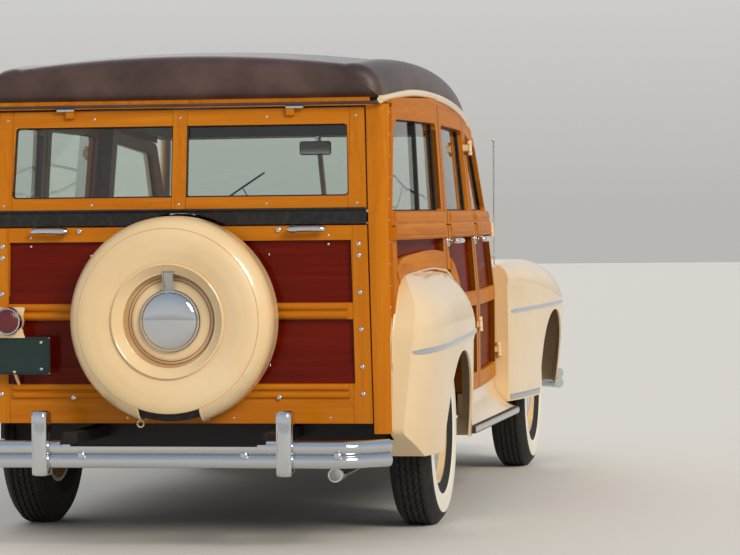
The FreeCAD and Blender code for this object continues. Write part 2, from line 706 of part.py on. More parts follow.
def rear_fenders():
    plate = through(REAR_FENDER)
    low = 300.0
    wires = []
    inner_wires = []
    for y, crown_z, wide, lip in ((-830.0, 930.0, 846.0, 800.0), (-560.0, 985.0, 918.0, 880.0), (-120.0, 1000.0, FENDER_WIDE, 906.0),
                                  (300.0, 955.0, 918.0, 892.0), (520.0, 800.0, 876.0, 876.0)):
        for shrink, store in ((0.0, wires), (FENDER_SHEET, inner_wires)):
            inner_x = 700.0
            top = V(790.0 - shrink, y, crown_z + 10.0 - shrink)
            side = V(wide - shrink, y, 700.0)
            foot = V(lip - shrink, y, low - 10.0)
            mid = V((top.x + side.x) / 2.0 + 0.24 * (side.x - top.x), y, side.z + (top.z - side.z) * 0.72)
            mid2 = V((side.x + foot.x) / 2.0 + 6.0, y, (side.z + foot.z) / 2.0 + 30.0)
            start = V(inner_x, y, top.z)
            end = V(inner_x, y, low - 10.0)
            store.append(Part.Wire([
                Part.makeLine(start, top), Part.Arc(top, mid, side).toShape(),
                Part.Arc(side, mid2, foot).toShape(), Part.makeLine(foot, end), Part.makeLine(end, start)]))
    outer = loft_sections(wires)
    inner = loft_sections(inner_wires)
    inside = inset(REAR_FENDER, -FENDER_SHEET)
    body = outer.common(plate).cut(inner.common(inside))
    body = body.cut(box(600.0, 1000.0, -900.0, 600.0, 200.0, RUNNING_BOARD_Z - 35.0))
    opening = rod(V(600.0, 0.0, REAR_OPENING_Z), V(1000.0, 0.0, REAR_OPENING_Z), REAR_OPENING)
    body = body.cut(opening)
    body = body.cut(side_wall(-6.0, 300.0))
    house_r = TYRE_RADIUS + 46.0
    house = rod(V(640.0, 0.0, TYRE_RADIUS), V(796.0, 0.0, TYRE_RADIUS), house_r)
    hollow = rod(V(648.0, 0.0, TYRE_RADIUS), V(800.0, 0.0, TYRE_RADIUS), house_r - 8.0)
    house = house.cut(hollow).cut(box(600.0, 900.0, -600.0, 600.0, -100.0, FLOOR_Z + 30.0))
    save("rear_fenders", pair(body))
    return house, hollow


def front_fenders():
    outer_wires, inner_wires = [], []
    for y, inner, inner_z, crown, crown_z, wide, wide_z, lip, lip_z in FRONT_FENDER_SECTIONS:
        for shrink, store in ((0.0, outer_wires), (FENDER_SHEET, inner_wires)):
            foot_z = lip_z if shrink == 0.0 else lip_z - 40.0
            a = V(inner + shrink, y, foot_z)
            b = V(inner + shrink, y, inner_z - shrink)
            c = V(crown, y, crown_z - shrink)
            d = V(wide - shrink, y, wide_z)
            e = V(lip - shrink, y, foot_z)
            mid = V(c.x + (d.x - c.x) * 0.74, y, d.z + (c.z - d.z) * 0.74)
            mid_top = V((b.x + c.x) / 2.0, y, (b.z + c.z) / 2.0 + 4.0)
            mid_side = V((d.x + e.x) / 2.0 + 3.0, y, (d.z + e.z) / 2.0)
            store.append(Part.Wire([
                Part.makeLine(a, b), Part.Arc(b, mid_top, c).toShape(), Part.Arc(c, mid, d).toShape(),
                Part.Arc(d, mid_side, e).toShape(), Part.makeLine(e, a)]))
    outer = loft_sections(outer_wires)
    inner = loft_sections(inner_wires)
    nose = FRONT_FENDER_SECTIONS[-1][0]
    outer = round_end(outer, nose, FENDER_NOSE_ROUND)
    inner = inner.common(box(200.0, 1000.0, 1860.0, nose - FENDER_NOSE_ROUND - 10.0, 200.0, 1100.0))
    body = outer.cut(inner)
    opening = rod(V(KNUCKLE_X - 100.0, WHEELBASE, TYRE_RADIUS - 4.0), V(1000.0, WHEELBASE, TYRE_RADIUS - 4.0), FRONT_OPENING)
    body = body.cut(opening)
    inner_wall = box(0.0, 560.0, WHEELBASE - 420.0, WHEELBASE + 420.0, 200.0, 820.0)
    body = body.cut(inner_wall)
    body = body.cut(box(0.0, 700.0, 1800.0, WHEELBASE - 306.0, 200.0, 700.0))
    body = body.cut(box(0.0, 900.0, 1800.0, SIDE_FRONT_Y, 300.0, 1100.0).common(side_wall(0.0, 400.0)))
    lamp = rod(V(600.0, 3380.0, 760.0), V(600.0, 3700.0, 760.0), 100.0)
    body = body.cut(lamp)
    return body


def front_body_shell():
    body = max(front_fenders().Solids, key=lambda s: s.Volume)
    body, = cleared([body], "frame", "cowl")
    save("front_fenders", pair(max(body.Solids, key=lambda s: s.Volume)))


def hood_solid(inward):
    """The hood filled in, or the space under it when moved inward."""
    drop = 30.0 if inward else 0.0
    wires = []
    for y, edge, edge_z, shoulder, shoulder_z, crown_z in HOOD_SECTIONS:
        e = V(edge - inward, y, edge_z - drop)
        s = V(shoulder - inward * 0.7, y, shoulder_z - inward * 0.7)
        c = V(0, y, crown_z - inward)
        m = V(e.x + (s.x - e.x) * 0.42, y, e.z + (s.z - e.z) * 0.62)
        wires.append(Part.Wire([
            Part.Arc(e, m, s).toShape(), Part.Arc(s, c, V(-s.x, y, s.z)).toShape(),
            Part.Arc(V(-s.x, y, s.z), V(-m.x, y, m.z), V(-e.x, y, e.z)).toShape(),
            Part.makeLine(V(-e.x, y, e.z), e)]))
    return Part.makeLoft(wires, True, False)


def hood():
    outer = round_end(hood_solid(0.0), HOOD_SECTIONS[-1][0], HOOD_NOSE_ROUND)
    nose = HOOD_SECTIONS[-1][0] - HOOD_SHEET
    shell = outer.cut(hood_solid(HOOD_SHEET).common(box(-800, 800, 2000.0, nose - HOOD_NOSE_ROUND, 700, 1300)))
    save("hood", [shell])


def running_boards():
    boards = []
    aprons = []
    back, front = 512.0, 1846.0
    edge = 892.0
    z = RUNNING_BOARD_Z
    board = top_plate([(760.0, back), (edge, back), (edge, front - 10.0), (830.0, front + 4.0), (760.0, front + 4.0)], z - 30.0, z)
    wires = []
    for y in (back, (back + front) / 2.0, front):
        x = side_x(y, 480.0)
        top = SIDE_BOTTOM_Z - 6.0
        wide = edge - 14.0 - (x - 2.0)
        tall = top - z
        radius = (wide ** 2 + tall ** 2) / (2.0 * wide)
        half = math.asin(tall / radius) / 2.0
        middle = V(x - 2.0 + radius - radius * math.cos(half), y, top - radius * math.sin(half))
        p = [V(x - 30.0, y, top), V(x - 2.0, y, top), middle, V(edge - 14.0, y, z), V(x - 30.0, y, z)]
        wires.append(Part.Wire([Part.makeLine(p[0], p[1]), Part.Arc(p[1], p[2], p[3]).toShape(),
                                Part.makeLine(p[3], p[4]), Part.makeLine(p[4], p[0])]))
    apron = Part.makeLoft(wires, True, False)
    save("running_boards", pair(board))
    save("sill_aprons", pair(apron))


# Floor, frame and running gear

def floor(house, hollow):
    pieces = []
    top = FLOOR_Z + FLOOR_THICK
    pieces.append(box(-745.0, 745.0, 500.0, SIDE_FRONT_Y - 10.0, FLOOR_Z, top))
    pieces += pair(box(740.0, 795.0, 500.0, 1846.0, FLOOR_Z - 60.0, top))
    pieces.append(box(-780.0, 780.0, 482.0, 500.0, FLOOR_Z, LOAD_FLOOR_Z + FLOOR_THICK))
    load = box(-690.0, 690.0, -785.0, 500.0, LOAD_FLOOR_Z, LOAD_FLOOR_Z + FLOOR_THICK)
    pieces.append(load)
    whole = fuse(pieces)
    for way in pair(hollow):
        whole = whole.cut(way)
    whole = fuse([whole] + pair(house))
    whole, = cleared([whole], "engine", "side_frames", "sill_aprons")
    save("floor", [max(whole.Solids, key=lambda s: s.Volume)])


def frame_node():
    rails = [
        (FRONT_BUMPER_Y - 130.0, 372.0), (WHEELBASE - 520.0, 372.0), (2000.0, 372.0), (500.0, 372.0),
        (250.0, 520.0), (-250.0, 520.0), (-530.0, 395.0), (-1010.0, 385.0),
    ]
    depth = RAIL_DEPTH / 2.0
    upper = [(y, z + depth) for y, z in rails]
    lower = [(y, z - depth) for y, z in reversed(rails)]
    lower[0] = (lower[0][0], lower[0][1] + 50.0)
    lower[1] = (lower[1][0], lower[1][1] + 40.0)
    upper[-1] = (upper[-1][0], 419.0)
    upper[-2] = (upper[-2][0], 423.0)
    rail = side_plate(upper + lower, 400.0 - RAIL_WIDTH, 400.0)
    rail = fuse([rail])
    cross = []
    for y, z, width, deep in ((3480.0, 372.0, 90.0, 76.0), (2560.0, 365.0, 80.0, 70.0), (1700.0, 310.0, 90.0, 30.0),
                              (560.0, 310.0, 80.0, 30.0), (-200.0, 530.0, 70.0, 60.0)):
        cross.append(box(-370.0, 370.0, y - width / 2.0, y + width / 2.0, z - deep / 2.0, z + deep / 2.0))
    save("frame", [fuse(pair(rail) + cross)])


def axles():
    z = TYRE_RADIUS
    end = REAR_TRACK / 2.0 - DRUM_INNER - 0.3
    r = AXLE_TUBE_RADIUS
    tube = turned([(0.0, -end), (r, -end), (r, -150.0), (70.0, -112.0, 20.0), (130.0, -46.0, 50.0), (130.0, 46.0, 50.0),
                   (70.0, 112.0, 20.0), (r, 150.0), (r, end), (0.0, end)], V(0, 0, z), "x")
    shaft = rod(V(0, 80.0, z), V(0, 1900.0, z + 30.0), 34.0)
    save("rear_axle", [fuse([tube, shaft])])
    beam_z = z - 82.0
    beam = box(-KNUCKLE_X + 62.0, KNUCKLE_X - 62.0, WHEELBASE - 26.0, WHEELBASE + 26.0, beam_z - 34.0, beam_z + 34.0)
    ears = []
    for low, high in ((z - 86.0, z - 46.0), (z + 46.0, z + 86.0)):
        ears.append(top_plate([(KNUCKLE_X - 80.0, WHEELBASE - 22.0), (KNUCKLE_X + 22.0, WHEELBASE - 22.0, 21.9),
                               (KNUCKLE_X + 22.0, WHEELBASE + 22.0, 21.9), (KNUCKLE_X - 80.0, WHEELBASE + 22.0)], low, high))
    ears.append(box(KNUCKLE_X - 92.0, KNUCKLE_X - 50.0, WHEELBASE - 26.0, WHEELBASE + 26.0, z - 94.0, z + 86.0))
    save("front_axle", [fuse([beam] + [p for e in ears for p in pair(e)])])
    knuckle = fuse([
        rod(V(KNUCKLE_X, WHEELBASE, z - 45.0), V(KNUCKLE_X, WHEELBASE, z + 45.0), 22.0),
        rod(V(KNUCKLE_X, WHEELBASE, z), V(FRONT_TRACK / 2.0 + 30.0, WHEELBASE, z), 20.0),
        rod(V(KNUCKLE_X + 28.0, WHEELBASE, z), V(KNUCKLE_X + 38.0, WHEELBASE, z), 70.0)])
    save("knuckle_right", [knuckle])
    save("knuckle_left", [mirrored(knuckle)])


def tyre_profile(radius, width, rim):
    half = width / 2.0
    return [
        (rim, -half * 0.74), (rim + 50.0, -half, 46.0), (radius - 36.0, -half, 46.0), (radius, -half * 0.62, 16.0),
        (radius, half * 0.62, 16.0), (radius - 36.0, half, 46.0), (rim + 50.0, half, 46.0), (rim, half * 0.74),
    ]


def wheel(x, y, side, name, hub_face):
    """A tyre and its disc wheel, outer face to the car's right."""
    z = TYRE_RADIUS
    tyre = turned(tyre_profile(TYRE_RADIUS, TYRE_WIDTH, RIM_RADIUS), V(x, y, z), "x")
    half = TYRE_WIDTH * 0.37
    rim = turned([(RIM_RADIUS - RIM_WALL - 8.0, -half), (RIM_RADIUS, -half), (RIM_RADIUS, half),
                  (RIM_RADIUS - RIM_WALL - 8.0, half)], V(x, y, z), "x")
    disc = turned([(0.0, 20.0), (RIM_RADIUS - 6.0, -6.0), (RIM_RADIUS - 6.0, 8.0), (138.0, 30.0, 20.0), (0.0, 36.0)],
                  V(x, y, z), "x")
    cap = turned([(0.0, 30.0), (126.0, 22.0), (122.0, 44.0, 10.0), (70.0, 60.0, 60.0), (0.0, 62.0)], V(x, y, z), "x")
    drum = rod(V(x - DRUM_INNER, y, z), V(x + 24.0, y, z), 132.0)
    seat = rod(V(x - 80.0, y, z), V(x + 30.2, y, z), 20.3)
    whole = fuse([rim, disc, cap, drum])
    if hub_face:
        whole = whole.cut(seat)
    save("tyre_" + name, [on_side(tyre, side)])
    save("wheel_" + name, [on_side(whole, side)])


def wheels():
    for side, word in ((RIGHT, "right"), (LEFT, "left")):
        wheel(REAR_TRACK / 2.0, 0.0, side, "rear_" + word, False)
        wheel(FRONT_TRACK / 2.0, WHEELBASE, side, "front_" + word, True)


# Tailgate, spare and liftgate

def gate_half(z):
    share = (z - GATE_BOTTOM_Z) / (GATE_TOP_Z - GATE_BOTTOM_Z)
    return GATE_HALF_BOTTOM + (GATE_HALF_TOP - GATE_HALF_BOTTOM) * share


def gate_board(inset_x, z0, z1, y0, y1):
    """A board across the tailgate whose ends follow its tapered sides."""
    a, b = gate_half(z0) - inset_x, gate_half(z1) - inset_x
    return end_plate([(-a, z0), (a, z0), (b, z1), (-b, z1)], y0, y1)


def tailgate():
    y = GATE_FACE_Y
    inner_y = y + WALL
    split_z = GATE_HINGE_Z - 4.0
    stile = 60.0
    upper = gate_board(0.0, split_z, GATE_TOP_Z, y, inner_y)
    skirt = gate_board(0.0, GATE_BOTTOM_Z, split_z, y, y + GATE_SKIRT)
    holes = [gate_board(stile, MID_TOP_Z, BELT_BOTTOM_Z + 3.0, y - 5.0, inner_y + 5.0),
             gate_board(stile, split_z + 16.0, MID_BOTTOM_Z, y - 5.0, inner_y + 5.0),
             gate_board(stile, 590.0, split_z + 20.0, y - 5.0, y + GATE_SKIRT)]
    frame = fuse([upper, skirt])
    for hole in holes:
        frame = frame.cut(hole)
    frame = fuse([frame])
    for z0, z1 in ((535.0, 561.0), (564.0, 590.0), (826.0, 853.0), (857.0, 884.0)):
        half = gate_half(z0) - stile - 22.0
        middle = (z0 + z1) / 2.0
        roll = rod(V(-half, y + 3.0, middle), V(half, y + 3.0, middle), (z1 - z0) / 2.0)
        frame = frame.fuse(roll.common(box(-800, 800, y - 20.0, y + 10.0, z0, z1)))
    handles = []
    for sign in (1.0, -1.0):
        base = V(sign * 430.0, y + 2.0, 1153.0)
        out = V(sign * 430.0, y - 34.0, 1153.0)
        handles += [rod(base, V(base.x, y - 6.0, base.z), 13.0), rod(base, out, 9.0),
                    rod(V(sign * 418.0, y - 32.0, 1153.0), V(sign * 540.0, y - 26.0, 1153.0), 9.0)]
    bracket = [rod(V(0.0, inner_y - 2.0, SPARE_Z), V(0.0, SPARE_HUB_Y, SPARE_Z), SPARE_HUB_RADIUS)]
    for angle in (90.0, 210.0, 330.0):
        x = 110.0 * math.cos(math.radians(angle))
        bracket.append(rod(V(0.0, y - 8.0, SPARE_Z), V(3.0 * x, y - 8.0, SPARE_Z + 330.0 * math.sin(math.radians(angle))), 9.0))
    frame = fuse([frame] + handles + bracket + [k for knuckle in gate_knuckle(-20.0, 20.0 + GATE_GAP - 2.0 * HINGE_PLAY - 0.4)
                                                for k in pair(knuckle)])
    save("tailgate_frame", [frame])
    panels = []
    thick = 14.0
    for z0, z1 in ((MID_TOP_Z, BELT_BOTTOM_Z + 3.0), (split_z + 20.0, MID_BOTTOM_Z)):
        panels.append(gate_board(stile, z0, z1, y + 16.0, y + 16.0 + thick))
    panels.append(gate_board(stile, 590.0, split_z + 20.0, y + 10.0, y + GATE_SKIRT))
    clean = [p.cut(frame) for p in panels]
    save("tailgate_panels", [fuse(clean)])


def spare():
    y = GATE_FACE_Y - 12.0
    z = SPARE_Z
    face = SPARE_Y
    centre_y = SPARE_MIDDLE_Y
    tyre = turned(tyre_profile(TYRE_RADIUS, TYRE_WIDTH, RIM_RADIUS), V(0, centre_y, z), "y")
    half = TYRE_WIDTH * 0.37
    rim = turned([(RIM_RADIUS - 14.0, -half), (RIM_RADIUS, -half), (RIM_RADIUS, half), (RIM_RADIUS - 14.0, half)], V(0, centre_y, z), "y")
    disc = turned([(0.0, -22.0), (RIM_RADIUS - 6.0, 6.0), (RIM_RADIUS - 6.0, -8.0), (138.0, -34.0, 20.0), (0.0, -40.0)], V(0, centre_y, z), "y")
    cap = turned([(0.0, -30.0), (110.0, -24.0), (106.0, -48.0, 10.0), (60.0, -66.0, 60.0), (0.0, -68.0)], V(0, centre_y, z), "y")
    sheet = SPARE_SHEET
    bead = SPARE_OPENING + 33.0
    cover = turned([
        (SPARE_OPENING, face + 36.0), (bead, face + 4.0, 3.0), (bead + 4.0, face + 13.0), (bead + 57.0, face, 110.0),
        (SPARE_RADIUS, face, SPARE_ROUND), (SPARE_RADIUS, y - 30.0), (SPARE_RADIUS - sheet, y - 30.0),
        (SPARE_RADIUS - sheet, face + sheet, SPARE_ROUND - sheet), (bead + 57.0, face + sheet, 104.0),
        (bead + 2.0, face + 15.0 + sheet), (SPARE_OPENING + 3.0, face + 40.0)],
        V(0, 0, z), "y")
    # The rim band meets the face at a fine groove and is open at its foot.
    lap = face + SPARE_ROUND - math.sqrt(SPARE_ROUND ** 2 - (SPARE_SEAM - SPARE_RADIUS + SPARE_ROUND) ** 2)
    groove = turned([(SPARE_SEAM - 2.1, lap - 2.6), (SPARE_SEAM + 2.6, lap), (SPARE_SEAM - 0.8, lap + 3.2)], V(0, 0, z), "y")
    gap = box(-SPARE_GAP, SPARE_GAP, face - 1.0, y, z - SPARE_RADIUS - 20.0, z - SPARE_RADIUS + 130.0)
    gap = gap.cut(rod(V(0, face - 2.0, z), V(0, y + 1.0, z), SPARE_SEAM))
    save("spare_tyre", [tyre])
    save("spare_wheel", [fuse([rim, disc, cap])])
    save("spare_cover", [cover.cut(groove).cut(gap)])


def tail_lamp():
    y = GATE_FACE_Y
    lamp = turned([(0.0, y - 92.0), (44.0, y - 84.0, 12.0), (50.0, y - 66.0), (50.0, y - 40.0), (26.0, y - 20.0), (0.0, y - 20.0)],
                  V(LAMP_X, 0, 825.0), "y")
    arm = rod(V(LAMP_X, y + 1.0, 790.0), V(LAMP_X, y - 44.0, 812.0), 14.0)
    pad = rod(V(LAMP_X, y + 17.0, 780.0), V(LAMP_X, y - 6.0, 780.0), 30.0)
    # The plate swings down past the corner post, so it ends short of it.
    outer_end = -gate_half(630.0 + PLATE_TALL) - GATE_GAP + PLATE_CLEAR
    plate = box(outer_end, PLATE_END_X, y - 58.0, y - 54.0, 630.0, 630.0 + PLATE_TALL)
    stem = rod(V(LAMP_X, y - 54.0, 757.0), V(LAMP_X, y - 30.0, 800.0), 8.0)
    prop = rod(V(LAMP_X + 16.0, y - 54.0, 640.0), V(LAMP_X + 16.0, y + 2.0, 588.0), 5.0)
    whole = fuse([lamp, arm, pad, stem, plate, prop])
    whole, = cleared([whole], "tailgate_frame", "tailgate_panels")
    save("tail_lamp", [max(whole.Solids, key=lambda s: s.Volume)])


def lift_y(z):
    share = (z - LIFT_BOTTOM_Z) / (LIFT_TOP_Z - LIFT_BOTTOM_Z)
    return GATE_FACE_Y + 2.0 + (LIFT_TOP_Y - GATE_FACE_Y - 2.0) * share


def lift_half(z):
    share = (z - LIFT_BOTTOM_Z) / (LIFT_TOP_Z - LIFT_BOTTOM_Z)
    return LIFT_HALF_BOTTOM + (LIFT_HALF_TOP - LIFT_HALF_BOTTOM) * share


def lift_slab(z0, z1, inset_x, front, back, radius=0.0):
    """A slab on the leaning liftgate between two heights."""
    a, b = lift_half(z0) - inset_x, lift_half(z1) - inset_x
    corners = [(-a, z0, radius), (a, z0, radius), (b, z1, radius), (-b, z1, radius)]
    wire = outline(corners, lambda u, v: V(u, lift_y(v) + front, v))
    return Part.Face(wire).extrude(V(0, back - front, 0))


def liftgate():
    whole = lift_slab(LIFT_BOTTOM_Z, LIFT_TOP_Z, 0.0, 0.0, LIFT_THICK)
    side = 64.0
    window = lift_slab(LIFT_GLASS_BOTTOM_Z, LIFT_GLASS_TOP_Z, side, -20.0, LIFT_THICK + 20.0, 14.0)
    frame = whole.cut(window)
    post_low, post_high = LIFT_GLASS_BOTTOM_Z - 4.0, LIFT_GLASS_TOP_Z + 4.0
    wire = outline([(-27.0, post_low), (27.0, post_low), (27.0, post_high), (-27.0, post_high)],
                   lambda u, v: V(u, lift_y(v) + 2.0, v))
    post = Part.Face(wire).extrude(V(0, LIFT_THICK - 6.0, 0))
    glass_sheet = window.common(lift_slab(LIFT_BOTTOM_Z, LIFT_TOP_Z, 0.0, 16.0, 16.0 + GLASS_THICK)).cut(post)
    knuckles = []
    for x in LIFT_HINGE_X:
        knuckles += hinge_knuckle(x, V(0, LIFT_HINGE_Y, LIFT_HINGE_Z), LIFT_HINGE_RADIUS, LIFT_TOP_Y + 8.0,
                                  LIFT_HINGE_Z - 30.0, LIFT_HINGE_Z - 2.0)
    frame = fuse([frame, post] + [k for knuckle in knuckles for k in pair(knuckle)])
    save("liftgate_frame", [frame])
    save("liftgate_glass", [glass_sheet])
    y = lift_y(LIFT_BOTTOM_Z)
    half = LIFT_HALF_BOTTOM
    flap = end_plate([(-half, FLAP_BOTTOM_Z, 8.0), (half, FLAP_BOTTOM_Z, 8.0), (half, LIFT_BOTTOM_Z), (-half, LIFT_BOTTOM_Z)], y - 5.0, y + 9.0)
    flap = flap.fuse(end_plate([(-half, LIFT_BOTTOM_Z - 4.0), (half, LIFT_BOTTOM_Z - 4.0), (half, LIFT_BOTTOM_Z + 8.0), (-half, LIFT_BOTTOM_Z + 8.0)], y - 5.0, y + 0.5))
    arch = rod(V(0, y - 100.0, SPARE_Z), V(0, y + 100.0, SPARE_Z), SPARE_RADIUS + FLAP_CLEAR)
    save("gate_flap", cleared([flap.cut(arch).removeSplitter()], "liftgate_frame"))


# Bumpers, lamps, grille, engine and the rest

def bumper(face_y, toward, z0, z1, half, turn_in, dip):
    """Two rolls joined by a groove, with ends that curve round the body."""
    pieces = []
    mid = (z0 + z1) / 2.0
    radius = (z1 - z0) / 4.0 + 1.0
    centre_y = face_y - toward * radius
    straight = half - 130.0
    for z in (z0 + radius, z1 - radius):
        points = [V(-half, centre_y - toward * turn_in, z), V(-straight, centre_y, z),
                  V(straight, centre_y, z), V(half, centre_y - toward * turn_in, z)]
        pieces.append(bent_rod(points, radius, 160.0))
    back = box(-half + 150.0, half - 150.0, min(centre_y, centre_y - toward * 16.0), max(centre_y, centre_y - toward * 16.0), z0 + 10.0, z1 - 10.0)
    pieces.append(back)
    body = fuse(pieces)
    if dip:
        body = body.cut(box(-380.0, 380.0, face_y - 200.0, face_y + 200.0, z1 - dip, z1 + 20.0))
    return body


def guards(face_y, toward, x, z0, z1):
    y0, y1 = sorted((face_y + toward * 20.0, face_y - toward * 50.0))
    guard = side_plate([(y0, z0, 14.0), (y1, z0, 14.0), (y1, z1, 20.0), (y0, z1, 20.0)], x - 27.0, x + 27.0)
    return pair(guard)


def bumpers():
    rear_face = REAR_BUMPER_Y + 20.0
    rear = bumper(rear_face, -1.0, 301.0, 400.0, 800.0, 120.0, 20.0)
    rear_guards = guards(rear_face, -1.0, 450.0, 276.0, 505.0)
    arms = pair(box(345.0, 400.0, rear_face + 20.0, -1005.0, 335.0, 385.0))
    save("rear_bumper", cleared([fuse([rear] + rear_guards + arms)], "frame"))
    front_face = FRONT_BUMPER_Y - 20.0
    front = bumper(front_face, 1.0, 330.0, 430.0, 860.0, 150.0, 0.0)
    front_guards = guards(front_face, 1.0, 380.0, 305.0, 520.0)
    arms = pair(box(345.0, 400.0, FRONT_BUMPER_Y - 134.0, front_face - 20.0, 350.0, 400.0))
    save("front_bumper", cleared([fuse([front] + front_guards + arms)], "frame"))


def headlamps():
    y = 3380.0
    lamp = turned([(0.0, y), (70.0, y, 30.0), (99.0, y + 120.0), (99.0, y + 150.0), (92.0, y + 158.0, 4.0), (50.0, y + 170.0, 80.0), (0.0, y + 174.0)],
                  V(600.0, 0, 760.0), "y")
    save("headlamps", pair(lamp))


def grille():
    bars = []
    y = 3520.0
    for z, half in ((470.0, 520.0), (560.0, 500.0), (650.0, 470.0)):
        bars.append(end_plate([(-half, z, 20.0), (half, z, 20.0), (half, z + 56.0, 20.0), (-half, z + 56.0, 20.0)], y, y + 24.0))
    bars.append(box(-14.0, 14.0, y - 10.0, y + 12.0, 440.0, 860.0))
    bars += pair(box(290.0, 310.0, y - 10.0, y + 12.0, 440.0, 720.0))
    pan = end_plate([(-600.0, 385.0, 20.0), (600.0, 385.0, 20.0), (640.0, 470.0, 10.0), (-640.0, 470.0, 10.0)], y - 30.0, y - 8.0)
    bars.append(pan)
    whole, = cleared([fuse(bars)], "frame", "front_fenders", "headlamps")
    save("grille", [max(whole.Solids, key=lambda s: s.Volume)])
    save("radiator", [box(-280.0, 280.0, 3380.0, 3440.0, 410.0, 850.0)])


def power():
    save("engine", [fuse([box(-190.0, 190.0, 2250.0, 3180.0, 430.0, 900.0), box(-110.0, 110.0, 1960.0, 2250.0, 420.0, 640.0)])])
    tank = box(-330.0, 330.0, -505.0, -245.0, 440.0, LOAD_FLOOR_Z - 0.2)
    save("fuel_tank", [tank.makeFillet(24.0, [e for e in tank.Edges if abs(e.BoundBox.ZLength) > 50.0])])


def exhaust():
    runs = []
    route = [V(250.0, 2300.0, 420.0), V(285.0, 2100.0, 270.0), V(285.0, 420.0, 250.0), V(430.0, 250.0, 262.0), V(470.0, -250.0, 262.0),
             V(600.0, -600.0, 274.0), V(606.0, -1000.0, 270.0)]
    runs.append(bent_rod(route, 24.0, 130.0))
    runs.append(rod(V(285.0, 1500.0, 255.0), V(285.0, 900.0, 253.0), 75.0))
    hanger = box(400.0, 606.0, -560.0, -530.0, 330.0, 345.0)
    post = box(586.0, 608.0, -560.0, -530.0, 280.0, 345.0)
    whole = fuse(runs + [hanger, post])
    end = route[-1]
    back = route[-1].sub(route[-2]).normalize()
    bore = rod(end.sub(back * 60.0), end.add(back * 10.0), 21.0)
    save("exhaust", [whole.cut(bore)])


def seats():
    benches = []
    for y, z, half, tall in ((1180.0, FLOOR_Z + FLOOR_THICK, 620.0, 1250.0), (330.0, LOAD_FLOOR_Z + FLOOR_THICK, 600.0, 1240.0)):
        base = side_plate([(y, z + 0.3), (y + 440.0, z + 0.3), (y + 470.0, z + 330.0, 50.0), (y + 20.0, z + 290.0, 20.0)], -half, half)
        back = side_plate([(y - 10.0, z + 200.0, 20.0), (y + 90.0, z + 250.0, 20.0), (y - 20.0, tall, 40.0), (y - 110.0, tall, 40.0)], -half, half)
        benches.append(fuse([base, back]))
    save("seats", benches)


def antenna():
    foot = V(764.0, 2000.0, 905.0)
    tip = V(768.0, 1985.0, 1530.0)
    pieces = [rod(foot, tip, 4.0), Part.makeSphere(8.0, tip), rod(V(764.0, 2000.0, 860.0), V(764.0, 2000.0, 930.0), 12.0),
              box(735.0, 764.0, 1990.0, 2010.0, 1000.0, 1012.0)]
    whole, = cleared([fuse(pieces)], "cowl", "front_fenders")
    save("antenna", [max(whole.Solids, key=lambda s: s.Volume)])


def main():
    os.makedirs("parts", exist_ok=True)
    rear_hinges, front_hinges = doors()
    house, hollow = rear_fenders()
    quarter_glass = sides(rear_hinges)
    roof()
    corner_posts()
    frame_node()
    power()
    running_boards()
    floor(house, hollow)
    shield = front_body(front_hinges)
    save("fixed_glass", pair(shield) + pair(quarter_glass))
    steering()
    front_body_shell()
    hood()
    axles()
    wheels()
    tailgate()
    spare()
    tail_lamp()
    liftgate()
    bumpers()
    headlamps()
    grille()
    exhaust()
    seats()
    antenna()


main()
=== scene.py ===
import math

import bmesh
import bpy
from mathutils import Matrix, Vector
from mathutils.bvhtree import BVHTree


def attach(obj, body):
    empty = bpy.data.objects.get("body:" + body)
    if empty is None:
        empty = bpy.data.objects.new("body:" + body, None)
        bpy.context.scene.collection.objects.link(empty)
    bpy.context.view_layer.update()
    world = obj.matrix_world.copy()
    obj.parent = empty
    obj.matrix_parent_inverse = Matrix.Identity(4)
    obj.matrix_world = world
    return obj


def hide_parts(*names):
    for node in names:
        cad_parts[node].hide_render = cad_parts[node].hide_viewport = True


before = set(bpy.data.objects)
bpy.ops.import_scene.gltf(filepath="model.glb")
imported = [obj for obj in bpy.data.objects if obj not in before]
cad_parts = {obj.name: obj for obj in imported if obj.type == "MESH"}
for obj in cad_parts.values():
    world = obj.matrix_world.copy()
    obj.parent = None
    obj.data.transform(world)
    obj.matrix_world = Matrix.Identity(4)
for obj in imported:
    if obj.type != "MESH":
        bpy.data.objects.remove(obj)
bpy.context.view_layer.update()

# A wood-bodied station wagon. Places are written in millimetres to the car's
# right, ahead of the rear axle and up from the road, as the body is measured.
REAR_AXLE_Y = 1.313
RIGHT = 1
LEFT = -1
SIDES = ((RIGHT, "right"), (LEFT, "left"))
WHEELBASE = 2896
REAR_TRACK = 1524
FRONT_TRACK = 1473
TYRE_RADIUS = 364
TYRE_WIDTH = 165
GATE_FACE = -842
LIFT_TOP_FACE = -791
SPARE_Z = 826
SPARE_FACE = -1040
SPARE_MIDDLE = -943.2
SPARE_RADIUS = 380
SPARE_ROUND = 86
SPARE_OPENING = 172
BAND_GAP = 117
LAMP_OUT = -628
LAMP_UP = 825
PLATE_LEFT = -710
PLATE_RIGHT = -476
BACK = Vector((0, 1, 0))
UP = Vector((0, 0, 1))

# The side of the body: height, half width where it is widest, and that place.
SIDE_ARC = 12775
SIDE_LEVELS = ((380, 850, 500), (855, 850, 500), (1161, 831, 390), (1665, 797, 90))

# The roof's lower edge: place along the car, how far out, and height.
ROOF_EDGE = ((-812, 746, 1616), (-302, 778, 1655), (208, 790, 1654), (718, 781, 1631),
             (1228, 748, 1591), (1738, 686, 1552))

# The seam of the rear fender with the body: places (ahead, up).
FENDER_SEAM = ((-806, 420), (-808, 600), (-808, 740), (-788, 820), (-741, 902), (-690, 953),
               (-619, 976), (-400, 989), (-180, 996), (0, 989), (131, 977), (272, 934),
               (379, 833), (416, 778), (452, 725))


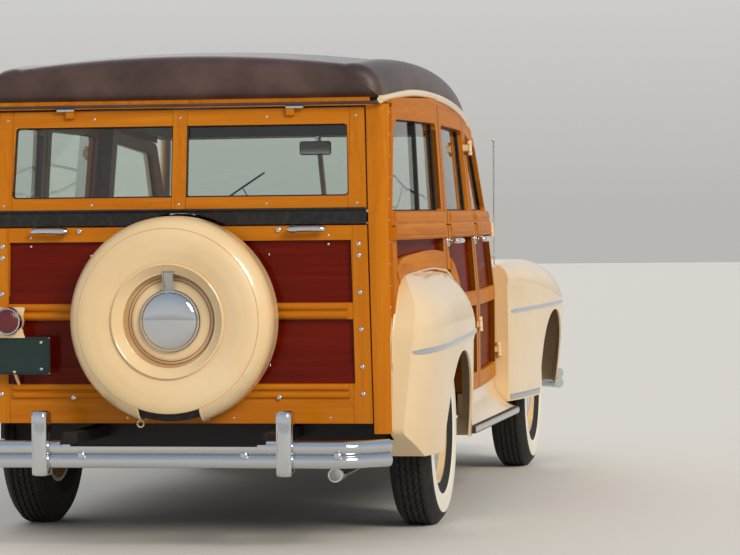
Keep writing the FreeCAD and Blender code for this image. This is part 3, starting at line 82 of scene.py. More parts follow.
def at(out, ahead, up):
    """A place in the frame's metres."""
    return Vector((-out / 1000, REAR_AXLE_Y - ahead / 1000, up / 1000))


def side_at(ahead, up):
    """How far out the body's side lies."""
    for low, high in zip(SIDE_LEVELS, SIDE_LEVELS[1:]):
        if up <= high[0]:
            break
    share = (up - low[0]) / (high[0] - low[0])
    near, far = [half - SIDE_ARC + math.sqrt(SIDE_ARC ** 2 - (ahead - widest) ** 2)
                 for _, half, widest in (low, high)]
    return near + (far - near) * share


def edge_height(ahead):
    """The height of the roof's lower edge."""
    for low, high in zip(ROOF_EDGE, ROOF_EDGE[1:]):
        if ahead <= high[0]:
            break
    return low[2] + (high[2] - low[2]) * (ahead - low[0]) / (high[0] - low[0])


def gate_half(up):
    """Half the tailgate's width at a height."""
    return 717 - 15 * (up - 445) / 721


def lift_face(up):
    """The leaning liftgate's outer face."""
    return GATE_FACE + 2 + (LIFT_TOP_FACE - GATE_FACE - 2) * (up - 1222) / 374


# Materials

def colour(code):
    """An sRGB hex colour as linear values."""
    values = []
    for i in (0, 2, 4):
        c = int(code[i:i + 2], 16) / 255
        values.append(c / 12.92 if c <= 0.04045 else ((c + 0.055) / 1.055) ** 2.4)
    return (*values, 1)


def node(tree, kind, inputs=None, ramp=(), **settings):
    """Add a node. An input takes a value, a socket, or a node, which gives
    its first live output. A ramp takes (position, hex colour) stops. A kind
    without the word Node in it is a shader's."""
    made = tree.nodes.new(kind if "Node" in kind else "ShaderNode" + kind)
    for key, value in settings.items():
        setattr(made, key, value)
    for socket, value in (inputs or {}).items():
        if isinstance(value, bpy.types.Node):
            value = next(s for s in value.outputs if s.enabled)
        if isinstance(value, bpy.types.NodeSocket):
            tree.links.new(value, made.inputs[socket])
        else:
            made.inputs[socket].default_value = value
    for i, (position, code) in enumerate(ramp):
        elements = made.color_ramp.elements
        if i >= len(elements):
            elements.new(position)
        elements[i].position = position
        elements[i].color = colour(code)
    return made


def open_material(name):
    """An empty material, its node tree and the object's own coordinates."""
    material = bpy.data.materials.new(name)
    material.use_nodes = True
    material.node_tree.nodes.clear()
    place = node(material.node_tree, "TexCoord")
    return material, material.node_tree, place.outputs["Object"]


def close_material(tree, inputs):
    """The one shader and the output that end a material."""
    shader = node(tree, "BsdfPrincipled", inputs)
    node(tree, "OutputMaterial", {"Surface": shader})


def mottled(name, stops, cloud, skin, relief, gloss):
    """Colour stops over a cloud noise, and a finer noise as relief. A noise
    is (scale, detail), the relief is (depth, strength)."""
    material, tree, place = open_material(name)
    drift = node(tree, "TexNoise", {"Vector": place, "Scale": cloud[0], "Detail": cloud[1]})
    tone = node(tree, "ValToRGB", {"Fac": drift}, stops)
    grain = node(tree, "TexNoise", {"Vector": place, "Scale": skin[0], "Detail": skin[1]})
    bump = node(tree, "Bump", {"Height": grain, "Distance": relief[0], "Strength": relief[1]})
    close_material(tree, {"Base Color": tone, "Normal": bump, **gloss})
    return material


def enamel(name, light, shade):
    """Gloss enamel: a soft orange peel under a clear, even shine."""
    return mottled(name, [(0.3, shade), (0.7, light)], (3, 2), (260, 2), (0.0004, 0.06),
                   {"Roughness": 0.3, "Coat Weight": 0.8, "Coat Roughness": 0.07})


def rubber(name, code, dust, rough=0.75):
    """Vulcanised rubber: dull, with a fine dusty mottle."""
    return mottled(name, [(0.45, code), (0.85, dust)], (60, 4), (900, 2), (0.0003, 0.3), {"Roughness": rough})


def painted(name, code, worn, rough=0.5):
    """Brushed-on paint with a little unevenness."""
    return mottled(name, [(0.5, code), (0.9, worn)], (14, 4), (120, 3), (0.0004, 0.2), {"Roughness": rough})


# Growth streaks are about 40 mm wide and 1 m long, pores 4 mm and 150 mm.
STREAKS = {"x": (1, 26, 26), "y": (26, 1, 26), "z": (26, 26, 1)}
PORES = {"x": (7, 260, 260), "y": (260, 7, 260), "z": (260, 260, 7)}


def grain_tone(tree, place, along, offset):
    """Streaks and pores that run along one axis."""
    moved = node(tree, "VectorMath", {0: place, 1: offset}, operation="ADD")
    wide = node(tree, "Mapping", {"Vector": moved, "Scale": STREAKS[along]})
    fine = node(tree, "Mapping", {"Vector": moved, "Scale": PORES[along]})
    streaks = node(tree, "TexNoise",
                   {"Vector": wide, "Scale": 1, "Detail": 6, "Roughness": 0.62, "Distortion": 0.9})
    pores = node(tree, "TexNoise", {"Vector": fine, "Scale": 1, "Detail": 3, "Roughness": 0.7})
    return node(tree, "Mix", {"Factor": 0.3, "A": streaks, "B": pores})


def varnished(name, tones, along, bands=()):
    """Varnished boards: grain along one axis, and upright in the bands
    where the stiles stand, with a fine dark line at each joint."""
    material, tree, place = open_material(name)
    tone = grain_tone(tree, place, along, (0, 0, 0))
    fields = []
    if bands:
        value = node(tree, "SeparateXYZ", {"Vector": place}).outputs[along.upper()]
        for spots in ([((low + high) / 2, (high - low) / 2) for low, high in bands],
                      [(edge, 0.0008) for band in bands for edge in band]):
            field = 0
            for middle, reach in spots:
                hit = node(tree, "Math", {0: value, 1: middle, 2: reach}, operation="COMPARE")
                field = node(tree, "Math", {0: field, 1: hit}, operation="MAXIMUM")
            fields.append(field)
        upright = grain_tone(tree, place, "z", (0.37, 0.21, 0.13))
        tone = node(tree, "Mix", {"Factor": fields[0], "A": tone, "B": upright})
    wood = node(tree, "ValToRGB", {"Fac": tone}, list(zip((0.28, 0.5, 0.74), tones)))
    patch = node(tree, "TexNoise", {"Vector": place, "Scale": 1.7, "Detail": 2})
    out = node(tree, "Mix", {"Factor": patch, "A": wood, "B": colour(tones[1])}, data_type="RGBA")
    if bands:
        faint = node(tree, "Math", {0: fields[1], 1: 0.75}, operation="MULTIPLY")
        out = node(tree, "Mix", {"Factor": faint, "A": out, "B": colour("3A1C06")}, data_type="RGBA")
    bump = node(tree, "Bump", {"Height": tone, "Distance": 0.0006, "Strength": 0.10})
    close_material(tree, {"Base Color": out, "Roughness": 0.45, "Specular IOR Level": 0, "Coat Weight": 0.25,
                          "Coat Roughness": 0.12, "Coat IOR": 1.5, "Normal": bump})
    return material


def plated(name, tint, rough):
    """Polished metal: a clear mirror with a trace of waviness."""
    material, tree, place = open_material(name)
    swell = node(tree, "TexNoise", {"Vector": place, "Scale": 26, "Detail": 1})
    bump = node(tree, "Bump", {"Height": swell, "Distance": 0.0006, "Strength": 0.05})
    close_material(tree, {"Base Color": colour(tint), "Metallic": 1, "Roughness": rough, "Normal": bump})
    return material


def grained_hide(name, tones, scale, depth, rough=0.44):
    """Leather or coated cloth: a cell grain with soft cloudy tone."""
    material, tree, place = open_material(name)
    cells = node(tree, "TexVoronoi", {"Vector": place, "Scale": scale}, feature="DISTANCE_TO_EDGE")
    cloud = node(tree, "TexNoise", {"Vector": place, "Scale": 6, "Detail": 5})
    tone = node(tree, "ValToRGB", {"Fac": cloud}, list(zip((0.3, 0.5, 0.75), tones)))
    bump = node(tree, "Bump", {"Height": cells, "Distance": depth, "Strength": 0.5})
    close_material(tree, {"Base Color": tone, "Roughness": rough, "Coat Weight": 0.12,
                          "Coat Roughness": 0.35, "Normal": bump})
    return material


def clear_glass(name, tint="E9F1EC"):
    """Flat safety glass with a faint green body."""
    material, tree, _ = open_material(name)
    close_material(tree, {"Base Color": colour(tint), "Roughness": 0, "IOR": 1.45, "Transmission Weight": 1})
    return material


def lens(name, code, ribs):
    """Moulded lens glass, coloured through, with fine flutes."""
    material, tree, place = open_material(name)
    waves = node(tree, "TexWave", {"Vector": place, "Scale": 55}, bands_direction="X")
    bump = node(tree, "Bump", {"Height": waves.outputs["Fac"], "Distance": 0.002, "Strength": ribs})
    close_material(tree, {"Base Color": colour(code), "Roughness": 0.2, "Coat Weight": 0.5,
                          "Coat Roughness": 0.03, "Normal": bump})
    return material


def metres(*ranges):
    """Ranges ahead of the axle in millimetres as ranges of frame Y."""
    return [(REAR_AXLE_Y - high / 1000, REAR_AXLE_Y - low / 1000) for low, high in ranges]


MAPLE_TONES = ("904A06", "BC6E10", "D68E24")
MAHOGANY_TONES = ("340804", "621204", "88240E")

# Cream enamel gives the body its warm, even, glossy metal.
CREAM = enamel("cream_enamel", "E9CFA4", "E0C291")
# Chrome plate gives sharp mirror highlights on bumpers, caps and handles.
CHROME = plated("chrome_plate", "CDD0D3", 0.06)
# Stainless strip is a softer, greyer mirror than the plated steel.
STAINLESS = plated("stainless_trim", "BDBDBB", 0.18)
# Clear glass lets the cabin and the far windows show through.
GLASS = clear_glass("safety_glass")
# Coated cloth on the roof is brown with a leathery grain and a soft sheen.
ROOF_CLOTH = grained_hide("coated_roof_cloth", ("33211D", "46302A", "58423B"), 300, 0.0014, 0.45)
# Rubber is dull and dark, the sidewall's a chalky off-white.
BLACK_RUBBER = rubber("black_rubber", "121110", "2E2C2A")
TREAD_RUBBER = rubber("tyre_rubber", "171615", "33312E", 0.8)
WHITEWALL = rubber("white_sidewall", "E6E2D6", "D8D2C2", 0.6)
BOARD_RUBBER = rubber("maroon_rubber", "3A1512", "55302A", 0.6)
# Paint on the frame, the floor and the engine is flat and a little worn.
CHASSIS = painted("chassis_black", "141312", "2C2926")
FLOOR_PAINT = painted("floor_brown", "33261B", "4C3B2B", 0.7)
IRON = painted("engine_green_grey", "2C332F", "47504A", 0.55)
PLATE_GREEN = painted("plate_green", "0A2624", "10302D")
# Seat leather is red-brown with fine pores.
SEAT_HIDE = grained_hide("seat_leather", ("4E160B", "6C2513", "84341E"), 320, 0.0008)
# Lens glass catches a small soft highlight over its colour.
RED_LENS = lens("red_lens", "5C0307", 0.2)
CLEAR_LENS = lens("headlamp_lens", "D9DEE0", 0.7)
AMBER_LENS = lens("parking_lens", "E8E2D2", 0.3)
# Thin stripes and dial faces share the enamel's shine.
STRIPE_RED = enamel("stripe_red", "8E1E14", "7C170F")
GAUGE = enamel("gauge_tan", "C9B48A", "BDA678")
# Varnished wood: dark red panels in frames of streaked orange maple.
MAHOGANY_X = varnished("mahogany_across", MAHOGANY_TONES, "x")
MAHOGANY_Y = varnished("mahogany_along", MAHOGANY_TONES, "y")
MAPLE_GATE = varnished("maple_gate", MAPLE_TONES, "x", [(-0.75, -0.648), (0.648, 0.75)])
MAPLE_LIFT = varnished("maple_liftgate", MAPLE_TONES, "x", [(-0.75, -0.634), (-0.027, 0.027), (0.634, 0.75)])
MAPLE_RAIL = varnished("maple_rails", MAPLE_TONES, "y")
MAPLE_POST = varnished("maple_posts", MAPLE_TONES, "z")
MAPLE_REAR_DOOR = varnished("maple_rear_door", MAPLE_TONES, "y", metres((132, 190), (835, 893)))
MAPLE_FRONT_DOOR = varnished("maple_front_door", MAPLE_TONES, "y", metres((905, 963), (1785, 1843)))
MAPLE_SIDE = varnished("maple_sides", MAPLE_TONES, "y", metres((-800, -735), (65, 123), (857, 941)))


def dress_nodes():
    """Give each carried-over node its finish."""
    finishes = [
        (CREAM, "cowl rear_fenders front_fenders hood sill_aprons spare_wheel spare_cover tail_lamp"),
        (CREAM, "steering_wheel"), (ROOF_CLOTH, "roof"), (BOARD_RUBBER, "running_boards"),
        (CHASSIS, "frame rear_axle front_axle knuckle_right knuckle_left radiator fuel_tank"),
        (CHROME, "rear_bumper front_bumper headlamps antenna"), (STAINLESS, "grille exhaust"),
        (GLASS, "fixed_glass liftgate_glass"), (FLOOR_PAINT, "floor"), (IRON, "engine"),
        (BLACK_RUBBER, "gate_flap"), (TREAD_RUBBER, "spare_tyre"), (SEAT_HIDE, "seats"),
        (MAPLE_GATE, "tailgate_frame"), (MAPLE_LIFT, "liftgate_frame"), (MAPLE_POST, "corner_posts"),
        (MAPLE_SIDE, "side_frames"), (MAHOGANY_X, "tailgate_panels"), (MAHOGANY_Y, "quarter_panels"),
    ]
    for end, wood in (("rear_", MAPLE_REAR_DOOR), ("front_", MAPLE_FRONT_DOOR)):
        for _, word in SIDES:
            finishes += [(wood, "door_frame_" + end + word), (MAHOGANY_Y, "door_panels_" + end + word),
                         (GLASS, "door_glass_" + end + word), (TREAD_RUBBER, "tyre_" + end + word),
                         (CREAM, "wheel_" + end + word)]
    for material, names in finishes:
        for name in names.split():
            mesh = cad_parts[name].data
            mesh.materials.clear()
            mesh.materials.append(material)


# Making pieces

def add_piece(name, mesh, material, body="body"):
    """A new piece on a body, in its material's slot."""
    made = bpy.data.objects.new(name, mesh)
    bpy.context.scene.collection.objects.link(made)
    mesh.name = name
    mesh.materials.clear()
    mesh.materials.append(material)
    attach(made, body)
    return made


def mesh_from(points, faces, sharp=35):
    """A clean smooth-shaded mesh whose faces point outwards."""
    mesh = bpy.data.meshes.new("piece")
    mesh.from_pydata([tuple(p) for p in points], [], faces)
    shape = bmesh.new()
    shape.from_mesh(mesh)
    bmesh.ops.remove_doubles(shape, verts=shape.verts, dist=0.00001)
    bmesh.ops.recalc_face_normals(shape, faces=shape.faces)
    shape.to_mesh(mesh)
    shape.free()
    mesh.shade_smooth()
    mesh.set_sharp_from_angle(angle=math.radians(sharp))
    return mesh


def shell(rings, closed=False, sharp=35):
    """A closed skin over rings of points, all as long as the first."""
    size = len(rings[0])
    starts = [size * i for i in range(len(rings))]
    pairs = list(zip(starts, starts[1:]))
    if closed:
        pairs.append((starts[-1], 0))
    faces = []
    for a, b in pairs:
        for k in range(size):
            n = (k + 1) % size
            faces.append([a + k, a + n, b + n, b + k])
    if not closed:
        faces += [[start + k for k in range(size)] for start in (0, starts[-1])]
    return mesh_from([p for ring in rings for p in ring], faces, sharp)


def joined(meshes):
    """Several meshes as one."""
    shape = bmesh.new()
    for mesh in meshes:
        shape.from_mesh(mesh)
    made = bpy.data.meshes.new("piece")
    shape.to_mesh(made)
    shape.free()
    made.shade_smooth()
    made.set_sharp_from_angle(angle=math.radians(35))
    return made


def rounded(corners, closed=True, steps=6):
    """Points through corners (u, v) or (u, v, radius), arcs included."""
    points = []
    count = len(corners)
    for i, corner in enumerate(corners):
        point = Vector(corner[:2])
        radius = corner[2] if len(corner) > 2 else 0
        if radius <= 0 or (not closed and i in (0, count - 1)):
            points.append(point)
            continue
        a = (Vector(corners[i - 1][:2]) - point).normalized()
        b = (Vector(corners[(i + 1) % count][:2]) - point).normalized()
        half = a.angle(b) / 2
        bisector = (a + b).normalized()
        centre = point + bisector * (radius / math.sin(half))
        start = point + a * (radius / math.tan(half)) - centre
        end = point + b * (radius / math.tan(half)) - centre
        turn = start.angle_signed(end)
        for k in range(steps + 1):
            angle = -turn * k / steps
            c, s = math.cos(angle), math.sin(angle)
            points.append(centre + Vector((start.x * c - start.y * s, start.x * s + start.y * c)))
    return points


def turned(profile, centre, axis, segments=64, closed=False):
    """A section (radius, along) turned round an axis across, along or up."""
    points, faces, rings = [], [], []
    for radius, along in profile:
        ring = []
        for k in range(segments if radius > 0.01 else 1):
            angle = 2 * math.pi * k / segments
            u, v = radius * math.cos(angle), radius * math.sin(angle)
            offset = {"across": (along, u, v), "along": (u, along, v), "up": (u, v, along)}[axis]
            ring.append(len(points))
            points.append(at(*(centre[i] + offset[i] for i in range(3))))
        rings.append(ring)
    pairs = list(zip(rings, rings[1:]))
    if closed:
        pairs.append((rings[-1], rings[0]))
    for a, b in pairs:
        for k in range(segments):
            n = (k + 1) % segments
            face = [a[k % len(a)], a[n % len(a)], b[n % len(b)], b[k % len(b)]]
            face = list(dict.fromkeys(face))
            if len(face) > 2:
                faces.append(face)
    return mesh_from(points, faces)


def plate(corners, place, depth, bevel=0):
    """A flat outline, placed by a function, with a depth (a Vector)."""
    near = [place(*p) for p in rounded(corners)]
    mesh = shell([near, [p + depth for p in near]])
    if bevel:
        soften(mesh, bevel)
    return mesh


def soften(mesh, width):
    """Round a mesh's sharp edges."""
    shape = bmesh.new()
    shape.from_mesh(mesh)
    steep = math.radians(40)
    edges = [e for e in shape.edges if len(e.link_faces) == 2 and e.calc_face_angle(0) > steep]
    bmesh.ops.bevel(shape, geom=edges, offset=width, segments=2, affect="EDGES", clamp_overlap=True)
    shape.to_mesh(mesh)
    shape.free()
    mesh.shade_smooth()
    mesh.set_sharp_from_angle(angle=math.radians(50))


def block(x0, x1, y0, y1, z0, z1, bevel):
    """A box with rounded edges."""
    corners = [(x0, z0), (x1, z0), (x1, z1), (x0, z1)]
    return plate(corners, lambda u, v: at(u, y0, v), at(x0, y1, z0) - at(x0, y0, z0), bevel / 1000)


def swept(path, section, closed=False):
    """A section swept along points of the frame. It is, or gives for a
    point's index, a normal and offsets (sideways, upward) in metres."""
    rings = []
    last = len(path) - 1
    for i, point in enumerate(path):
        before = path[i - 1] if (i > 0 or closed) else point
        after = path[(i + 1) % len(path)] if (i < last or closed) else point
        way = (after - before).normalized()
        normal, offsets = section(i) if callable(section) else section
        normal = (normal - way * normal.dot(way)).normalized()
        side = way.cross(normal)
        rings.append([point + side * u + normal * v for u, v in offsets])
    return shell(rings, closed, 50)


def circle(radius, sides=10):
    """Even places round a circle, as pairs."""
    turns = [2 * math.pi * k / sides for k in range(sides)]
    return [(radius * math.cos(a), radius * math.sin(a)) for a in turns]


def wire(path, radius, sides=10, closed=False):
    """A round wire or tube along points."""
    return swept(path, (Vector((0, 0.02, 1)), circle(radius, sides)), closed)


def along(points, count):
    """Even steps along a line of points."""
    lengths = [0]
    for a, b in zip(points, points[1:]):
        lengths.append(lengths[-1] + (b - a).length)
    out = []
    for k in range(count):
        want = lengths[-1] * k / (count - 1)
        i = max(j for j in range(len(lengths)) if lengths[j] <= want + 1e-9)
        i = min(i, len(points) - 2)
        share = (want - lengths[i]) / max(lengths[i + 1] - lengths[i], 1e-9)
        out.append(points[i].lerp(points[i + 1], share))
    return out


def smooth(points, steps):
    """A soft curve that passes through every point."""
    ends = [points[0] * 2 - points[1]] + list(points) + [points[-1] * 2 - points[-2]]
    out = []
    for a, b, c, d in zip(ends, ends[1:], ends[2:], ends[3:]):
        for k in range(steps):
            t = k / steps
            bend = (a * 2 - b * 5 + c * 4 - d) * t ** 2 + (b * 3 - a - c * 3 + d) * t ** 3
            out.append((b * 2 + (c - a) * t + bend) / 2)
    return out + [points[-1]]


def moved_out(points, out):
    """A flat line moved to its left, its two end points left off."""
    moved = []
    for before, point, after in zip(points, points[1:], points[2:]):
        way = (after - before).normalized()
        moved.append(point + Vector((-way.y, way.x)) * out)
    return moved


TREES = {}


def surface(node_name):
    """The surface of a carried-over node, to lay trim on."""
    if node_name not in TREES:
        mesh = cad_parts[node_name].data
        corners = [v.co.copy() for v in mesh.vertices]
        TREES[node_name] = BVHTree.FromPolygons(corners, [list(p.vertices) for p in mesh.polygons])
    return TREES[node_name]


def on_side(node_name, side, ahead, up):
    """Where a node's outer side lies at a place, and its normal."""
    start = at(side * 1400, ahead, up)
    hit, normal, _, _ = surface(node_name).ray_cast(start, Vector((side, 0, 0)))
    if hit is None:
        hit, normal, _, _ = surface(node_name).find_nearest(at(side * 880, ahead, up))
    if normal.x * side > 0:
        normal = -normal
    return hit, normal


def dome_tree():
    """Domed heads set on points, each turned to the point's own normal."""
    tree = bpy.data.node_groups.new("domed_heads", "GeometryNodeTree")
    face = tree.interface
    face.new_socket("Points", in_out="INPUT", socket_type="NodeSocketGeometry")
    sizes = [face.new_socket(n, in_out="INPUT", socket_type="NodeSocketFloat") for n in ("Radius", "Rise")]
    finish = face.new_socket("Finish", in_out="INPUT", socket_type="NodeSocketMaterial")
    face.new_socket("Heads", in_out="OUTPUT", socket_type="NodeSocketGeometry")
    given = node(tree, "NodeGroupInput").outputs
    spots = node(tree, "GeometryNodeMeshToPoints", {"Mesh": given["Points"]})
    head = node(tree, "GeometryNodeMeshUVSphere", {"Segments": 16, "Rings": 8, "Radius": given["Radius"]})
    squash = node(tree, "CombineXYZ", {"X": 1, "Y": 1, "Z": given["Rise"]})
    flat = node(tree, "GeometryNodeTransform", {"Geometry": head, "Scale": squash})
    way = node(tree, "GeometryNodeInputNamedAttribute", {"Name": "way"}, data_type="FLOAT_VECTOR")
    turn = node(tree, "FunctionNodeAlignRotationToVector", {"Vector": way}, axis="Z")
    domes = node(tree, "GeometryNodeInstanceOnPoints", {"Points": spots, "Instance": flat, "Rotation": turn})
    real = node(tree, "GeometryNodeRealizeInstances", {"Geometry": domes})
    coloured = node(tree, "GeometryNodeSetMaterial", {"Geometry": real, "Material": given["Finish"]})
    node(tree, "NodeGroupOutput", {"Heads": coloured})
    return tree, [s.identifier for s in sizes], finish.identifier


DOMES = dome_tree()


def heads(name, spots, radius, rise, body="body"):
    """Plated bolt or screw heads at (place, normal) spots."""
    tree, sizes, finish = DOMES
    mesh = bpy.data.meshes.new(name + "_spots")
    mesh.from_pydata([tuple(p) for p, _ in spots], [], [])
    ways = mesh.attributes.new("way", "FLOAT_VECTOR", "POINT")
    for i, (_, normal) in enumerate(spots):
        ways.data[i].vector = normal
    holder = bpy.data.objects.new(name + "_spots", mesh)
    bpy.context.scene.collection.objects.link(holder)
    modifier = holder.modifiers.new("heads", "NODES")
    modifier.node_group = tree
    modifier[sizes[0]] = radius / 1000
    modifier[sizes[1]] = rise
    modifier[finish] = CHROME
    graph = bpy.context.evaluated_depsgraph_get()
    solid = bpy.data.meshes.new_from_object(holder.evaluated_get(graph))
    solid.shade_smooth()
    bpy.data.objects.remove(holder)
    add_piece(name, solid, CHROME, body)


# Wheels and tyres

TREAD_GROOVES = (-35, -12, 12, 35)
GROOVE_DEPTH = 7
ZIGZAG = 3.5
TREAD_STEPS = 144


def tyre_section(shift):
    """Half-round walls and a tread of five ribs, as (radius, along)."""
    radius, half = TYRE_RADIUS, TYRE_WIDTH / 2
    wall = rounded([(206, -half * 0.72), (255, -half, 46), (328, -half, 46), (radius - 1, -53, 12),
                    (radius, -46)], False)
    tread = []
    for groove in TREAD_GROOVES:
        middle = groove + shift
        tread += [(radius, middle - 4), (radius - GROOVE_DEPTH, middle - 2.6),
                  (radius - GROOVE_DEPTH, middle + 2.6), (radius, middle + 4)]
    return [(p.x, p.y) for p in wall] + tread + [(p.x, -p.y) for p in reversed(wall)]


def tyre_mesh(centre, axis):
    """A tyre whose grooves zigzag from step to step."""
    rings = []
    for k in range(TREAD_STEPS):
        angle = 2 * math.pi * k / TREAD_STEPS
        ring = []
        for radius, out in tyre_section(ZIGZAG if k % 2 else -ZIGZAG):
            u, v = radius * math.cos(angle), radius * math.sin(angle)
            offset = (out, u, v) if axis == "across" else (u, out, v)
            ring.append(at(*(centre[i] + offset[i] for i in range(3))))
        rings.append(ring)
    return shell(rings, True, 30)


def whitewall_mesh(centre, face):
    """The white band of a sidewall, laid 0.9 mm proud."""
    half = TYRE_WIDTH / 2
    wall = rounded([(206, half * 0.72), (255, half, 46), (328, half, 46), (363, 53)], False, 10)
    band = [p for p in wall if 214 < p.x < 318]
    outer = [(p.x, (p.y + 0.9) * face) for p in band]
    inner = [(p.x, (p.y - 1.5) * face) for p in reversed(band)]
    return turned(outer + inner, centre, "across", 96, True)


def hub_cap(centre, axis, face, radius, rise):
    """A plain domed cap with a rolled rim, rise out from the wheel's middle."""
    shape = [(0, 0), (0.18, 0.4), (0.36, 1.6), (0.54, 3.8), (0.72, 7.6), (0.86, 12.8), (0.95, 18.5),
             (0.975, 23), (1.03, 24.5), (1.06, 28.5), (1.06, 33), (1.02, 37), (0, 40)]
    return turned([(radius * share, (rise - drop) * face) for share, drop in shape], centre, axis)


def trim_ring(centre, face):
    """A rolled bright ring over the rim's edge."""
    section = [(176, 24), (184, 31), (196, 40), (206, 50), (213, 56), (218, 55), (219, 50), (214, 46),
               (202, 34), (180, 21)]
    return turned([(r, a * face) for r, a in section], centre, "across", 96, True)


def wheel_stripes(name, centre, axis, radii, middle, slope, face, body):
    """Thin stripes laid on a wheel's sloping disc."""
    for radius in radii:
        reach = middle - (radius - 138) * slope / 61
        section = [(radius, reach * face), (radius + 2.4, reach * face + 0.6 * face),
                   (radius + 2.4, reach * face - 1.5 * face), (radius, reach * face - 1.5 * face)]
        add_piece(name % radius, turned(section, centre, axis, 96, True), STRIPE_RED, body)


def road_wheels():
    """Treaded tyres, white walls, caps, rings and stripes."""
    for place, ahead, track in (("rear", 0, REAR_TRACK), ("front", WHEELBASE, FRONT_TRACK)):
        for side, word in SIDES:
            name = place + "_" + word
            body = "roadwheel_" + name
            centre = (side * track / 2, ahead, TYRE_RADIUS)
            tyre = add_piece("treaded_tyre_" + name, tyre_mesh(centre, "across"), TREAD_RUBBER, body)
            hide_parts("tyre_" + name)
            add_piece("whitewall_" + name, whitewall_mesh(centre, side), WHITEWALL, body)
            add_piece("hub_cap_" + name, hub_cap(centre, "across", side, 124, 68), CHROME, body)
            add_piece("trim_ring_" + name, trim_ring(centre, side), CHROME, body)
            wheel_stripes("stripe_%d_" + name, centre, "across", (148, 159), 30, 22, side, body)


def spare_wheel():
    """The spare's tyre, cap and stripes."""
    centre = (0, SPARE_MIDDLE, SPARE_Z)
    tyre = add_piece("spare_treaded_tyre", tyre_mesh(centre, "along"), TREAD_RUBBER, "tailgate")
    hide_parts("spare_tyre")
    add_piece("spare_hub_cap", hub_cap(centre, "along", -1, 107, 75), CHROME, "tailgate")
    wheel_stripes("spare_stripe_%d", centre, "along", (146, 157), 34, 26, -1, "tailgate")


# The back of the car

def gate_hardware():
    """Bolts, screws, handles and locks of the tailgate."""
    bolts = [(at(side * (gate_half(up) - 33), GATE_FACE, up), BACK)
             for up in (1098, 1056, 922, 787, 651, 552) for side in (RIGHT, LEFT)]
    bolts += [(at(out, GATE_FACE - 8, 540), BACK) for out in (372, -403)]
    heads("stile_bolts", bolts, 9.5, 0.42, "tailgate")
    screws = [(at(out, GATE_FACE + deep, up), BACK)
              for up, deep in ((1062, 16), (657, 10)) for out in (-335, 335)]
    screws += [(at(out, GATE_FACE, up), BACK) for up in (1098, 1130, 465) for out in (-560, -200, 200, 560)]
    heads("gate_screws", screws, 4.5, 0.30, "tailgate")
    for side, word in SIDES:
        hub = [(0, -40), (10, -38), (13.5, -30), (14.5, -12), (12.92, -7), (13.6, 0), (0, 0)]
        boss = turned(hub, (side * 430, GATE_FACE, 1153), "along", 32)
        add_piece("gate_handle_boss_" + word, boss, CHROME, "tailgate")
        spots = ((412, 32, 0), (424, 35, 0), (450, 35, 1), (490, 33, 2), (525, 30, 2), (545, 27, 0),
                 (552, 26, -1))
        path = [at(side * x, GATE_FACE - y, 1153 + z) for x, y, z in spots]
        girth = (5, 11, 11.5, 10.5, 11, 10.5, 6)
        lever = swept(path, lambda i: (UP, circle(girth[i] / 1000, 14)))
        add_piece("gate_lever_" + word, lever, CHROME, "tailgate")
        barrel = [(0, -7), (6, -7), (9, -5), (10.5, -1), (10.5, 2), (0, 2)]
        lock = turned(barrel, (side * 375, GATE_FACE, 1152), "along", 32)
        add_piece("gate_lock_" + word, lock, CHROME, "tailgate")


def spare_details():
    """Beads, band ends, hook and strap of the spare wheel's cover."""
    centre = (0, 0, SPARE_Z)
    bead = [(SPARE_OPENING + 3 + u, SPARE_FACE + 37 + v) for u, v in circle(4.5, 12)]
    add_piece("cover_bead", turned(bead, centre, "along", 96, True), CREAM, "tailgate")
    inner = [(SPARE_OPENING + 34 + u, SPARE_FACE + 5.5 + v) for u, v in circle(3.6, 10)]
    add_piece("cover_ring", turned(inner, centre, "along", 96, True), CREAM, "tailgate")
    # The rim band is open at its foot and its two ends are rolled over.
    edge = [(radius, SPARE_ROUND - math.sqrt(SPARE_ROUND ** 2 - (radius - SPARE_RADIUS + SPARE_ROUND) ** 2))
            for radius in (339, 348, 357, 365, 371, 376, 379, 380)] + [(380, 115), (380, 152)]
    for side, word in SIDES:
        path = [at(side * BAND_GAP, SPARE_FACE + depth + 2, SPARE_Z - math.sqrt(radius ** 2 - BAND_GAP ** 2))
                for radius, depth in edge]
        add_piece("band_end_" + word, wire(path, 0.0048, 12), CREAM, "tailgate")
    loop = [at(-124 + u, SPARE_FACE + 92, SPARE_Z - 376 + v) for u, v in circle(12, 24)]
    add_piece("band_hook", wire(loop, 0.003, 8, True), CREAM, "tailgate")
    # A folded strap hooks over the opening and holds the cover to the wheel.
    path = [at(0, SPARE_FACE + depth, SPARE_Z + up) for depth, up in
            ((50, 180), (36, 182), (27, 177), (26, 168), (32, 150), (41, 130), (48, 116), (52, 108))]
    channel = [(-0.020, -0.002), (0.020, -0.002), (0.020, 0.005), (0.0165, 0.005), (0.0145, 0.0015),
               (-0.0145, 0.0015), (-0.0165, 0.005), (-0.020, 0.005)]
    strap = swept(smooth(path, 3), (at(0, -1000, 500) - at(0, 0, 0), channel))
    add_piece("cover_strap", strap, STAINLESS, "tailgate")


